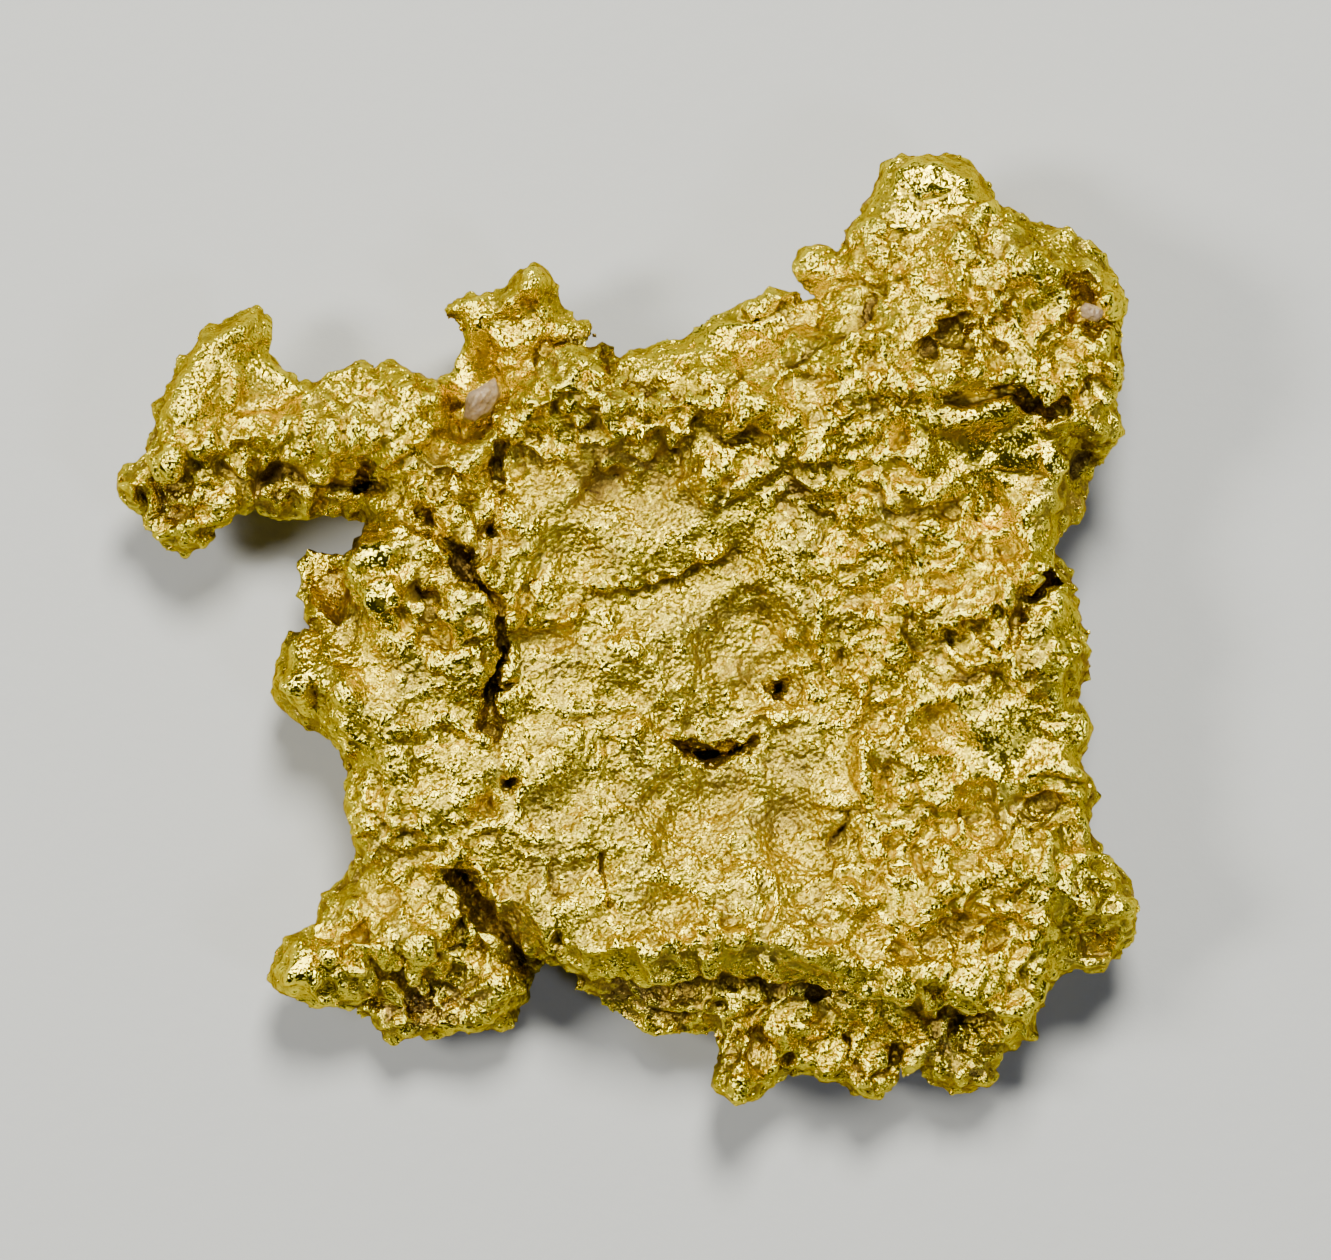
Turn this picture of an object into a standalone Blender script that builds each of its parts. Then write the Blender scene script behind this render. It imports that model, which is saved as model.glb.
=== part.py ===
# A leaf-shaped native gold nugget lying on its back, with two bits of quartz still held in its hollows.
#
# Places on the nugget are given in millimetres on a drawing sheet laid over its face: the first number
# runs to the right and the second one down. "Level" is the height above the surface that it lies on.
# Every length is in millimetres until a mesh is made.

import math

import bmesh
import bpy
import numpy as np
from mathutils import Matrix, Vector, noise
from mathutils.geometry import delaunay_2d_cdt

# Driving dimensions, in millimetres
WIDTH = 20.6
DEPTH = 19.1
FACE_STEP = 0.31
BACK_STEP = 0.56
RIM_STEP = 0.30
RIM_ROUND = 0.75
RIM_NOTCH = 0.16
THINNEST = 0.35
GRAIN_GAP = 0.04
SWAY_SEED = 3

MM = 0.001
SHEET_CENTRE = (12.54, 12.55)

# Without a fixed seed the sway of the lines would differ each time the part is made
noise.seed_set(SWAY_SEED)

# The outline seen from above, clockwise from the tip of the left arm
OUTLINE = [
    # left arm, upper edge, with its fin
    (2.24, 9.76), (2.40, 9.46), (2.80, 9.14), (2.92, 8.72), (3.12, 8.24), (3.36, 7.60), (3.50, 7.16),
    (3.84, 6.84), (4.20, 6.48), (4.52, 6.22), (4.92, 6.06), (5.24, 6.20), (5.40, 6.56), (5.30, 6.84),
    (5.60, 7.24), (6.10, 7.72), (6.44, 7.46), (6.90, 7.22), (7.20, 7.18), (7.60, 7.28), (7.92, 7.26),
    (8.40, 7.42), (8.80, 7.58),
    # upper left lobe
    (9.04, 7.32), (9.14, 6.90), (9.22, 6.56), (9.14, 6.34), (8.92, 6.26), (8.88, 6.06), (9.12, 5.88),
    (9.60, 5.82), (10.00, 5.72), (10.28, 5.46), (10.60, 5.24), (10.96, 5.28), (11.16, 5.48), (11.08, 5.82),
    (11.32, 6.12), (11.64, 6.40), (11.94, 6.58), (11.98, 6.80), (11.70, 6.88),
    # strip along the top, and the knob on its end
    (12.00, 6.94), (12.44, 7.10), (12.80, 6.92), (13.20, 6.78), (13.60, 6.66), (14.12, 6.50), (14.40, 6.18),
    (14.76, 6.00), (15.16, 5.98), (15.52, 5.76), (15.86, 5.68), (16.02, 5.98), (16.42, 5.86), (16.06, 5.66),
    (15.86, 5.36), (15.96, 5.08), (16.24, 4.86), (16.56, 4.86), (16.76, 5.02), (16.92, 4.98),
    # cap and right shoulder
    (16.98, 4.52), (17.24, 4.10), (17.48, 3.84), (17.60, 3.44), (17.84, 3.10), (18.24, 3.00), (18.96, 2.98),
    (19.40, 3.16), (19.70, 3.50), (19.90, 4.00), (20.40, 4.24), (21.00, 4.42), (21.52, 4.60), (21.88, 4.94),
    (22.20, 5.36), (22.52, 5.76), (22.60, 6.10), (22.44, 6.52), (22.38, 6.92), (22.42, 7.50), (22.26, 7.82),
    (22.38, 8.24), (22.42, 8.60), (22.14, 9.00), (21.96, 9.36), (21.80, 9.80), (21.66, 10.30), (21.28, 10.48),
    # right edge
    (21.22, 10.90), (21.20, 11.22), (21.46, 11.66), (21.52, 12.12), (21.66, 12.62), (21.84, 13.10),
    (21.70, 13.54), (21.62, 13.90), (21.84, 14.36), (21.82, 14.72), (21.64, 14.86), (21.70, 15.36),
    (21.98, 16.04), (21.84, 16.50), (22.08, 17.10), (22.48, 17.54), (22.76, 18.00), (22.84, 18.50),
    (22.60, 19.00), (22.10, 19.42), (21.56, 19.44), (21.16, 19.84), (20.76, 20.36), (20.62, 20.92),
    (20.24, 21.18), (19.96, 21.32),
    # fringe of lumps along the bottom
    (20.06, 21.68), (19.50, 21.94), (18.90, 21.84), (18.52, 21.52), (18.04, 21.48), (17.94, 21.80),
    (17.52, 22.08), (17.00, 22.00), (17.00, 21.68), (16.76, 21.72), (16.44, 21.80), (16.24, 21.54),
    (15.84, 21.60), (15.48, 21.82), (15.04, 22.12), (14.60, 22.10), (14.28, 21.70), (14.44, 21.28),
    (14.56, 21.00), (14.12, 20.78), (13.68, 20.78), (13.28, 20.88), (12.80, 20.74), (12.28, 20.40),
    (11.80, 20.02), (11.50, 19.88), (11.42, 19.48), (10.96, 19.38),
    # lower left lobe
    (10.70, 19.48), (10.58, 19.88), (10.34, 20.28), (10.32, 20.68), (9.84, 20.80), (9.00, 20.82),
    (8.20, 20.80), (7.56, 20.74), (7.24, 20.44), (6.96, 20.16), (6.36, 20.20), (5.84, 20.18), (5.40, 19.92),
    (5.26, 19.60), (5.48, 19.16), (5.96, 18.76), (6.24, 18.50), (6.40, 18.06), (6.68, 17.84), (7.04, 17.68),
    # left edge, with the curled lip and the flap above it
    (7.14, 17.44), (7.02, 17.04), (7.10, 16.82), (6.88, 16.56), (6.84, 16.00), (6.96, 15.52), (6.80, 15.16),
    (6.50, 14.76), (6.06, 14.58), (5.64, 14.22), (5.34, 13.84), (5.44, 13.40), (5.62, 12.96), (5.84, 12.70),
    (6.32, 12.60), (6.06, 12.40), (5.98, 12.00), (5.98, 11.44), (6.16, 11.04), (6.50, 10.96), (6.96, 10.96),
    (7.12, 10.68), (7.32, 10.46),
    # left arm, lower edge
    (7.00, 10.38), (6.72, 10.24), (6.32, 10.26), (5.80, 10.32), (5.36, 10.40), (5.04, 10.16), (4.72, 10.16),
    (4.56, 10.40), (4.18, 10.56), (4.06, 10.90), (3.72, 11.12), (3.26, 10.94), (2.96, 10.64), (2.84, 10.32),
    (2.48, 10.04),
]

# Holes worn right through the leaf
HOLES = {
    "crack": [(13.54, 14.82), (13.80, 14.96), (14.08, 15.06), (14.40, 14.98), (14.66, 14.90), (14.98, 14.84),
              (15.02, 14.92), (14.74, 15.02), (14.42, 15.12), (14.10, 15.22), (13.86, 15.12), (13.66, 14.98)],
    "round_hole": [(15.34, 13.80), (15.46, 13.67), (15.64, 13.62), (15.74, 13.72), (15.60, 13.88), (15.42, 13.92)],
    "arm_hole": [(6.94, 9.66), (7.14, 9.62), (7.38, 9.68), (7.28, 9.80), (7.12, 9.90)],
}

# Levels of the face: place, how far it reaches, level
FACE_LEVELS = [
    # main leaf: panel, top ridge, basin, right side and lower half
    (11.2, 9.7, 0.9, 3.0), (13.0, 10.2, 1.2, 2.95), (12.0, 8.2, 0.8, 3.6), (14.2, 8.5, 0.9, 3.6),
    (16.2, 8.2, 1.0, 3.8), (15.0, 10.5, 1.3, 3.0), (13.2, 13.2, 1.4, 2.75), (15.4, 13.6, 1.3, 2.5),
    (17.4, 11.5, 1.4, 3.05), (19.5, 11.6, 1.2, 3.3), (20.8, 13.1, 0.8, 3.2), (18.4, 14.2, 1.3, 2.95),
    (20.6, 15.4, 1.1, 3.05), (12.2, 15.8, 1.2, 2.9), (14.8, 16.3, 1.4, 2.55), (17.6, 16.6, 1.3, 2.9),
    (20.4, 17.4, 1.2, 3.2), (12.2, 18.0, 1.0, 3.05), (14.8, 18.4, 1.2, 3.15), (17.4, 18.8, 1.2, 3.2),
    (19.8, 19.2, 1.0, 3.0), (22.1, 18.4, 0.7, 2.7),
    # lower layer that shows under the bottom edge
    (12.8, 20.3, 0.6, 2.2), (15.2, 20.9, 0.7, 2.3), (17.4, 21.1, 0.7, 2.2), (19.3, 21.2, 0.7, 2.2),
    # cap, shoulder and the thick upper right
    (18.6, 3.8, 0.9, 3.0), (17.8, 5.4, 0.9, 3.4), (19.8, 5.8, 1.0, 4.1), (21.4, 6.0, 0.8, 3.8),
    (21.6, 7.8, 0.8, 3.6), (19.4, 7.4, 0.9, 4.1), (17.8, 7.4, 0.9, 3.9), (20.2, 9.6, 0.9, 3.5),
    (21.4, 9.6, 0.5, 2.9), (18.0, 9.4, 1.0, 3.4), (16.3, 5.4, 0.4, 2.7), (21.4, 4.9, 0.5, 3.2),
    # strip along the top
    (13.2, 7.1, 0.5, 2.9), (14.8, 6.6, 0.6, 3.0), (15.9, 6.3, 0.5, 3.2),
    # upper left lobe
    (10.8, 5.7, 0.5, 2.6), (9.6, 6.3, 0.5, 2.45), (10.6, 6.7, 0.5, 2.5), (9.3, 7.5, 0.45, 2.0),
    (9.0, 8.4, 0.4, 2.4),
    # left arm
    (8.2, 8.2, 0.6, 3.0), (6.8, 8.4, 0.6, 2.9), (5.6, 8.9, 0.6, 2.7), (4.2, 9.0, 0.7, 2.6), (2.8, 9.7, 0.5, 2.2),
    (4.8, 7.4, 0.6, 2.4), (4.9, 6.4, 0.4, 2.4), (7.2, 9.8, 0.5, 2.2), (5.4, 10.0, 0.5, 2.0), (3.6, 10.7, 0.4, 2.0),
    # left side, down to the lower left lobe
    (8.6, 9.6, 0.7, 3.1), (7.7, 11.4, 0.6, 3.3), (9.2, 12.0, 0.6, 3.15), (6.4, 11.7, 0.4, 2.0),
    (6.2, 13.3, 0.6, 2.7), (7.8, 13.6, 0.9, 3.1), (9.1, 13.6, 0.6, 3.0), (8.4, 15.4, 1.0, 3.0),
    (7.6, 16.6, 0.7, 2.7), (9.6, 16.8, 0.8, 2.9), (8.0, 18.3, 0.8, 2.5), (6.2, 19.3, 0.6, 2.2),
    (8.0, 20.2, 0.6, 1.8), (9.6, 19.4, 0.6, 2.1), (9.9, 20.4, 0.4, 1.8), (11.0, 17.4, 0.7, 3.0),
]

# Height of the crumpled wrinkles over the face: place, how far it reaches, height
CRUMPLES = [
    (12.2, 8.6, 1.0, 0.34), (14.6, 8.6, 1.0, 0.30), (16.6, 8.2, 1.0, 0.30), (12.4, 10.3, 1.1, 0.02),
    (14.0, 10.8, 1.0, 0.05), (12.6, 13.6, 1.6, 0.10), (15.4, 13.8, 1.4, 0.16), (15.6, 16.4, 1.2, 0.06),
    (12.6, 17.0, 1.2, 0.10), (18.8, 11.0, 1.6, 0.28), (18.8, 13.6, 1.3, 0.30), (20.0, 14.8, 0.8, 0.08),
    (19.4, 17.6, 1.8, 0.32), (15.2, 18.8, 1.4, 0.22), (16.0, 20.8, 1.6, 0.34), (19.6, 20.8, 1.2, 0.34),
    (20.0, 6.4, 1.6, 0.34), (18.4, 3.6, 0.8, 0.08), (19.4, 8.2, 0.6, 0.05), (20.0, 9.6, 0.8, 0.10),
    (8.6, 14.8, 1.8, 0.10), (9.0, 12.0, 1.0, 0.24), (7.2, 16.8, 0.8, 0.26), (7.8, 19.6, 1.2, 0.34),
    (5.0, 8.0, 1.0, 0.06), (7.4, 8.2, 1.0, 0.22), (4.0, 10.2, 1.0, 0.30), (10.4, 6.4, 0.9, 0.16),
    (14.6, 6.8, 1.2, 0.12), (6.4, 13.0, 0.8, 0.08), (22.2, 18.4, 0.8, 0.20),
]

# Levels of the underside. The four places that the nugget rests on lie below nought and are worn flat there
BACK_LEVELS = [
    (19.9, 6.4, 1.3, -0.5), (18.8, 18.6, 1.4, -0.5), (8.3, 19.0, 1.1, -0.5), (8.3, 9.6, 1.0, -0.35),
    (17.6, 9.6, 1.4, 0.9), (14.4, 8.4, 1.3, 1.3), (11.4, 9.6, 1.1, 1.0), (14.0, 12.2, 1.6, 0.9),
    (17.6, 13.2, 1.6, 0.8), (21.0, 11.8, 1.0, 1.2), (21.0, 15.4, 1.0, 1.0), (13.4, 16.2, 1.5, 0.8),
    (16.4, 16.2, 1.2, 0.5), (12.6, 19.4, 1.0, 0.9), (15.4, 20.8, 0.9, 0.7), (10.6, 17.0, 0.9, 0.8),
    (8.0, 16.0, 0.9, 0.7), (7.4, 13.4, 0.9, 0.6), (6.4, 11.7, 0.6, 0.8), (5.0, 8.8, 0.9, 0.7),
    (3.0, 9.8, 0.7, 0.9), (4.8, 7.0, 0.7, 1.3), (9.8, 6.4, 0.8, 1.2), (18.4, 3.8, 0.8, 1.2),
    (22.0, 18.2, 0.8, 0.9), (21.6, 8.6, 0.8, 0.9), (16.2, 5.4, 0.6, 1.6), (6.0, 19.4, 0.6, 0.5),
]

# Lumps and pits of the face: place, half lengths along and across, turn in degrees, rise
LUMPS = [
    # left arm and its root
    (8.40, 8.30, 0.60, 0.70, 0, 0.30), (6.70, 8.40, 0.30, 0.42, 0, 0.30), (8.90, 9.30, 0.80, 0.32, -8, 0.35),
    (3.90, 10.65, 0.62, 0.40, 20, 0.45), (3.50, 9.10, 0.55, 0.40, -30, 0.22), (4.95, 6.35, 0.35, 0.28, 0, 0.30),
    (7.40, 8.25, 0.55, 0.45, 0, 0.22), (2.55, 9.75, 0.34, 0.30, 0, 0.30), (4.45, 10.35, 0.30, 0.24, 0, 0.25),
    # left side
    (7.95, 10.95, 0.32, 0.32, 0, 0.35), (7.35, 10.95, 0.28, 0.24, 0, 0.30), (7.65, 11.95, 0.52, 0.42, 0, 0.45),
    (9.20, 12.05, 0.68, 0.62, 0, 0.38), (8.90, 11.15, 0.42, 0.34, 0, 0.25), (6.20, 11.95, 0.26, 0.55, 0, 0.45),
    (7.80, 14.20, 0.52, 0.44, 0, 0.20), (6.85, 13.75, 0.50, 0.24, 40, 0.22), (7.30, 16.00, 0.42, 0.30, -30, 0.25),
    (7.45, 17.15, 0.36, 0.28, 0, 0.25), (8.20, 16.40, 0.55, 0.30, 0, 0.15), (9.00, 13.20, 0.50, 0.40, 0, 0.12),
    # lower left lobe
    (6.30, 19.50, 0.62, 0.30, 0, 0.32), (7.80, 19.08, 0.34, 0.20, -8, 0.28), (8.40, 19.05, 0.32, 0.20, -4, 0.28),
    (5.70, 19.60, 0.38, 0.36, 0, 0.25), (9.20, 18.10, 0.40, 0.40, 0, 0.18), (8.20, 17.95, 0.45, 0.30, 0, 0.15),
    (10.20, 19.70, 0.32, 0.40, 0, 0.20), (9.30, 20.65, 0.55, 0.20, 0, 0.22), (7.90, 20.60, 0.40, 0.20, 0, 0.20),
    # upper left lobe and top strip
    (10.75, 5.65, 0.45, 0.36, 0, 0.40), (9.05, 6.10, 0.24, 0.18, 0, 0.30), (11.70, 6.62, 0.30, 0.16, 25, 0.30),
    (10.55, 6.62, 0.38, 0.28, 0, 0.22), (15.60, 5.95, 0.34, 0.18, -30, 0.22), (16.32, 5.34, 0.44, 0.40, 0, 0.45),
    # main leaf
    (10.90, 12.40, 0.80, 0.50, 0, 0.25), (11.30, 7.45, 0.55, 0.45, 0, 0.20), (12.10, 8.30, 0.55, 0.45, 0, 0.22),
    (13.20, 8.30, 0.30, 0.42, 0, 0.15), (14.20, 8.80, 0.42, 0.20, 0, 0.18), (14.00, 9.60, 0.34, 0.30, 0, 0.20),
    (15.50, 14.36, 0.70, 0.26, -8, 0.28), (14.70, 16.80, 0.60, 0.46, 0, 0.10), (14.10, 18.55, 0.45, 0.42, 0, 0.18),
    (15.60, 18.75, 0.34, 0.30, 0, 0.20), (12.80, 18.80, 0.70, 0.26, -8, 0.15), (17.90, 12.70, 0.45, 0.60, 20, 0.15),
    (18.90, 17.00, 0.55, 0.42, 0, 0.15), (17.00, 17.90, 0.55, 0.42, 0, 0.12), (18.30, 18.60, 0.60, 0.36, -20, 0.15),
    (20.30, 16.90, 0.40, 0.55, 20, 0.16), (19.70, 18.20, 0.45, 0.36, 0, 0.15), (21.00, 18.20, 0.40, 0.60, 30, 0.25),
    # right edge
    (21.00, 13.05, 0.85, 0.90, 0, 0.50), (21.38, 11.75, 0.38, 0.42, 0, 0.30), (21.60, 14.60, 0.30, 0.26, 0, 0.30),
    (20.90, 15.40, 0.60, 0.24, -10, 0.20), (21.60, 16.10, 0.40, 0.34, 0, 0.20), (22.10, 18.00, 0.62, 0.62, 0, 0.40),
    (20.90, 20.10, 0.40, 0.30, -50, 0.20), (20.40, 20.90, 0.35, 0.30, 0, 0.20),
    # cap, shoulder and upper right
    (18.60, 3.60, 0.85, 0.55, 0, 0.25), (18.40, 4.30, 0.50, 0.36, 0, 0.15), (18.95, 5.15, 0.75, 0.45, -25, 0.32),
    (20.80, 5.40, 0.55, 0.42, 0, 0.28), (22.20, 5.95, 0.34, 0.60, 0, 0.40), (21.60, 5.50, 0.34, 0.26, 20, 0.25),
    (19.60, 6.30, 0.50, 0.34, 0, 0.20), (21.80, 6.90, 0.34, 0.42, 0, 0.22), (22.00, 7.55, 0.42, 0.42, 0, 0.25),
    (21.90, 8.60, 0.42, 0.40, 0, 0.25), (17.30, 6.90, 0.60, 0.35, -30, 0.15), (20.10, 9.10, 0.55, 0.32, -10, 0.22),
    # fringe along the bottom
    (14.85, 21.60, 0.55, 0.50, 0, 0.50), (17.50, 21.70, 0.48, 0.34, 0, 0.40), (17.60, 20.95, 0.42, 0.40, 0, 0.30),
    (19.40, 21.45, 0.70, 0.40, 10, 0.35), (16.55, 21.45, 0.26, 0.26, 0, 0.30), (13.40, 20.60, 0.30, 0.24, 0, 0.30),
    (14.95, 20.85, 0.55, 0.24, 30, 0.28), (16.30, 20.60, 0.60, 0.34, 10, 0.22), (12.00, 19.90, 0.42, 0.24, 30, 0.22),
]
PITS = [
    (21.50, 9.40, 0.45, 0.75, 8, 1.00), (21.80, 19.10, 0.34, 0.28, 0, 0.70), (17.70, 4.90, 0.36, 0.32, 0, 0.40),
    (19.68, 4.90, 0.28, 0.22, 0, 0.35), (9.40, 20.00, 0.26, 0.20, -30, 0.75), (8.60, 20.36, 0.38, 0.20, 0, 0.60),
    (7.60, 20.15, 0.26, 0.20, 0, 0.40), (10.20, 15.52, 0.16, 0.28, -15, 0.80), (9.80, 16.10, 0.16, 0.26, 0, 0.70),
    (8.10, 17.10, 0.26, 0.16, 0, 0.50), (20.00, 10.10, 0.36, 0.52, 20, 0.40), (13.60, 19.86, 0.60, 0.18, 0, 0.55),
    (21.42, 6.22, 0.20, 0.20, 0, 0.60), (15.30, 13.50, 0.65, 0.26, 25, 0.28), (6.60, 12.10, 0.26, 0.34, 0, 0.50),
    (11.00, 8.72, 0.45, 0.24, 10, 0.30), (18.30, 20.80, 0.55, 0.36, 0, 0.35), (16.40, 19.90, 0.50, 0.18, 0, 0.30),
    (9.00, 8.20, 0.26, 0.60, 25, 0.25), (8.45, 11.95, 0.14, 0.34, 0, 0.60), (19.10, 6.70, 0.36, 0.20, -35, 0.25),
    (12.40, 9.50, 0.50, 0.22, 10, 0.20), (19.30, 20.50, 0.60, 0.20, 5, 0.35), (7.50, 18.00, 0.50, 0.22, 0, 0.20),
    (5.90, 8.05, 0.45, 0.30, -30, 0.15), (14.00, 20.25, 0.40, 0.14, 0, 0.30), (16.85, 16.75, 0.14, 0.30, 15, 0.30),
]

# Ridges and furrows of the face: line, rise, how far it reaches to the left and to the right of the line
RIDGES = [
    ([(10.1, 7.85), (10.8, 8.20), (11.6, 7.90), (12.6, 8.40), (13.6, 8.50), (14.8, 8.30), (16.0, 8.40), (17.0, 7.80)],
     0.22, 0.60, 0.60),
    ([(11.6, 19.0), (12.8, 18.95), (14.2, 19.1), (15.6, 18.9), (17.0, 19.2), (18.4, 19.4), (19.8, 19.8)],
     0.25, 0.55, 0.40),
    ([(2.5, 9.7), (3.8, 8.95), (5.0, 8.75), (6.2, 8.5), (7.4, 8.7), (8.4, 8.9)], 0.30, 0.45, 0.45),
    ([(2.9, 9.0), (3.4, 8.0), (3.9, 7.25), (4.6, 6.5)], 0.25, 0.30, 0.45),
    ([(21.0, 11.3), (20.4, 11.8), (19.6, 12.2), (18.8, 12.5)], 0.28, 0.30, 0.45),
    ([(20.1, 12.6), (20.2, 13.3), (20.5, 13.9)], 0.20, 0.22, 0.22),
    ([(17.4, 11.1), (17.9, 11.9), (18.1, 12.6)], 0.20, 0.25, 0.30),
    ([(18.2, 13.4), (18.7, 14.0), (19.4, 13.8), (20.4, 13.9)], 0.18, 0.28, 0.28),
    ([(17.2, 13.8), (17.2, 14.6), (17.35, 15.5)], 0.20, 0.26, 0.26),
    ([(18.1, 7.80), (18.8, 7.66), (19.4, 7.46), (20.2, 7.42), (20.9, 7.78)], 0.30, 0.50, 0.20),
    ([(19.0, 8.45), (19.8, 8.30), (20.6, 8.30), (21.2, 8.60)], 0.20, 0.25, 0.30),
    ([(16.5, 8.9), (16.6, 8.4), (17.0, 8.15)], 0.16, 0.25, 0.25),
    ([(20.9, 8.70), (20.85, 9.1), (20.95, 9.7), (21.1, 10.2)], 0.25, 0.30, 0.16),
    ([(17.0, 7.2), (17.5, 6.7), (17.9, 6.4)], 0.18, 0.30, 0.30),
    ([(5.3, 13.70), (5.9, 13.80), (6.35, 14.15), (6.65, 14.55), (6.95, 15.0)], 0.25, 0.40, 0.14),
    ([(12.0, 11.85), (12.9, 11.60), (13.7, 11.40), (14.5, 11.05)], 0.16, 0.45, 0.16),
    ([(20.9, 16.9), (21.3, 17.6), (21.7, 18.2)], 0.20, 0.25, 0.25),
    ([(10.9, 17.5), (10.7, 18.2), (10.9, 18.9)], 0.12, 0.20, 0.30),
    ([(13.5, 9.8), (14.1, 9.3), (14.6, 9.9), (15.2, 9.5)], 0.20, 0.24, 0.24),
    ([(11.5, 6.9), (11.9, 7.2), (12.3, 7.6)], 0.15, 0.14, 0.30),
    ([(10.0, 9.6), (9.95, 10.1), (10.15, 10.5)], 0.20, 0.26, 0.12),
]
FURROWS = [
    ([(10.16, 8.85), (9.92, 9.50), (9.85, 10.30), (10.08, 10.66)], 0.95, 0.15, 0.15),
    ([(8.65, 10.30), (9.10, 10.95), (9.60, 11.55), (9.98, 11.95), (10.02, 12.90), (9.88, 13.70), (9.62, 14.25),
      (9.78, 14.58)], 1.00, 0.26, 0.24),
    ([(9.10, 17.42), (9.55, 18.00), (9.95, 18.55), (10.30, 19.00), (10.70, 19.40)], 1.30, 0.26, 0.34),
    ([(9.95, 13.80), (10.42, 13.76)], 0.55, 0.10, 0.10),
    ([(20.95, 11.55), (20.62, 12.00), (20.30, 12.45)], 0.55, 0.20, 0.20),
    ([(20.25, 12.60), (20.36, 13.20), (20.45, 13.60)], 0.30, 0.14, 0.14),
    ([(12.14, 17.05), (12.02, 17.60), (12.18, 17.98)], 0.35, 0.14, 0.14),
    ([(16.9, 16.3), (17.7, 16.1), (18.9, 16.3), (20.3, 16.25), (21.0, 16.0)], 0.16, 0.22, 0.22),
    ([(18.0, 8.05), (18.8, 8.00), (19.8, 7.95), (20.9, 8.15)], 0.25, 0.20, 0.24),
    ([(13.7, 8.55), (14.3, 8.62), (15.2, 8.60)], 0.22, 0.16, 0.16),
    ([(18.3, 7.1), (18.8, 6.75), (19.1, 6.5)], 0.20, 0.16, 0.16),
    ([(10.3, 12.25), (10.6, 11.75), (10.9, 11.4)], 0.35, 0.16, 0.16),
    ([(4.0, 8.55), (4.5, 8.35), (4.9, 8.6)], 0.18, 0.16, 0.16),
    ([(10.2, 12.98), (10.9, 13.05), (11.4, 12.95)], 0.25, 0.14, 0.14),
]

# Ledges of the face: line, drop on the right of the line, how far the lowered ground reaches
LEDGES = [
    ([(17.4, 5.96), (17.0, 6.24), (16.4, 6.80), (15.8, 7.04), (15.2, 7.20), (14.4, 7.64), (13.8, 7.78),
      (13.4, 7.76), (12.5, 7.64), (12.24, 7.40), (11.8, 6.96), (11.5, 6.86), (11.2, 6.94), (10.8, 7.24),
      (10.4, 7.56), (10.1, 7.72), (9.75, 8.05)], 0.75, 1.2),
    ([(11.0, 19.20), (12.0, 19.56), (12.8, 19.62), (14.0, 19.42), (15.2, 19.50), (17.0, 19.70), (18.0, 20.10),
      (19.2, 20.24), (20.4, 20.32)], 0.70, 1.4),
    ([(5.25, 13.78), (5.9, 13.90), (6.30, 14.22), (6.60, 14.62), (6.90, 15.05)], 1.00, 0.8),
    ([(18.1, 7.88), (18.8, 7.78), (19.4, 7.60), (20.2, 7.56), (20.9, 7.90)], 0.45, 0.4),
    ([(12.0, 11.98), (12.9, 11.72), (13.7, 11.52), (14.6, 11.10)], 0.22, 0.6),
    ([(10.4, 8.90), (11.2, 9.02), (12.2, 9.28), (13.0, 9.36), (13.7, 8.95)], 0.30, 0.8),
    ([(7.1, 17.65), (7.9, 17.45), (8.7, 17.55), (9.2, 17.60)], 0.35, 0.7),
    ([(2.7, 10.0), (3.8, 9.45), (5.2, 9.10), (6.5, 9.02), (7.5, 9.20)], 0.45, 0.7),
    ([(6.4, 7.95), (5.8, 8.30), (5.0, 8.42), (4.5, 8.35)], 0.30, 0.6),
    ([(21.0, 18.95), (21.6, 18.52), (22.2, 18.60), (22.7, 18.95)], 0.60, 0.5),
    ([(7.05, 10.9), (7.10, 11.5), (7.05, 12.1), (7.2, 12.5)], 0.70, 0.5),
    ([(7.2, 20.0), (8.0, 19.85), (9.0, 19.75), (9.4, 20.2), (10.3, 20.3)], 0.35, 0.6),
    ([(12.5, 20.1), (13.4, 20.4), (14.4, 20.5), (15.4, 20.95), (16.4, 21.2), (17.0, 20.95)], 0.35, 0.5),
]


def distance_to_line(points, line):
    """Distance to a broken line, positive on its right-hand side, and how far past its ends each point lies."""
    line = np.asarray(line, float)
    starts, ways = line[:-1], line[1:] - line[:-1]
    lengths = np.linalg.norm(ways, axis=1)
    away = points[:, None, :] - starts[None, :, :]
    along = (away * ways).sum(2) / lengths**2
    nearest = np.clip(along, 0, 1)[:, :, None] * ways
    offset = away - nearest
    distance = np.linalg.norm(offset, axis=2)
    best = distance.argmin(1)
    rows = np.arange(len(points))
    cross = ways[best, 0] * offset[rows, best, 1] - ways[best, 1] * offset[rows, best, 0]
    before = np.where(best == 0, -along[rows, best] * lengths[best], 0)
    after = np.where(best == len(ways) - 1, (along[rows, best] - 1) * lengths[best], 0)
    past = np.maximum(0, np.maximum(before, after))
    return np.where(cross < 0, -1, 1) * distance[rows, best], past


def distance_to_loop(points, loop):
    return np.abs(distance_to_line(points, list(loop) + [loop[0]])[0])


def inside_loop(points, loop):
    """True where a point lies inside the loop, by counting the sides that a level ray crosses."""
    loop = np.asarray(loop, float)
    ends = np.roll(loop, -1, axis=0)
    x, y = points[:, 0, None], points[:, 1, None]
    spans = (loop[:, 1] > y) != (ends[:, 1] > y)
    rise = np.where(ends[:, 1] == loop[:, 1], 1e-12, ends[:, 1] - loop[:, 1])
    crossing = loop[:, 0] + (y - loop[:, 1]) * (ends[:, 0] - loop[:, 0]) / rise
    return (spans & (x < crossing)).sum(1) % 2 == 1


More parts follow.
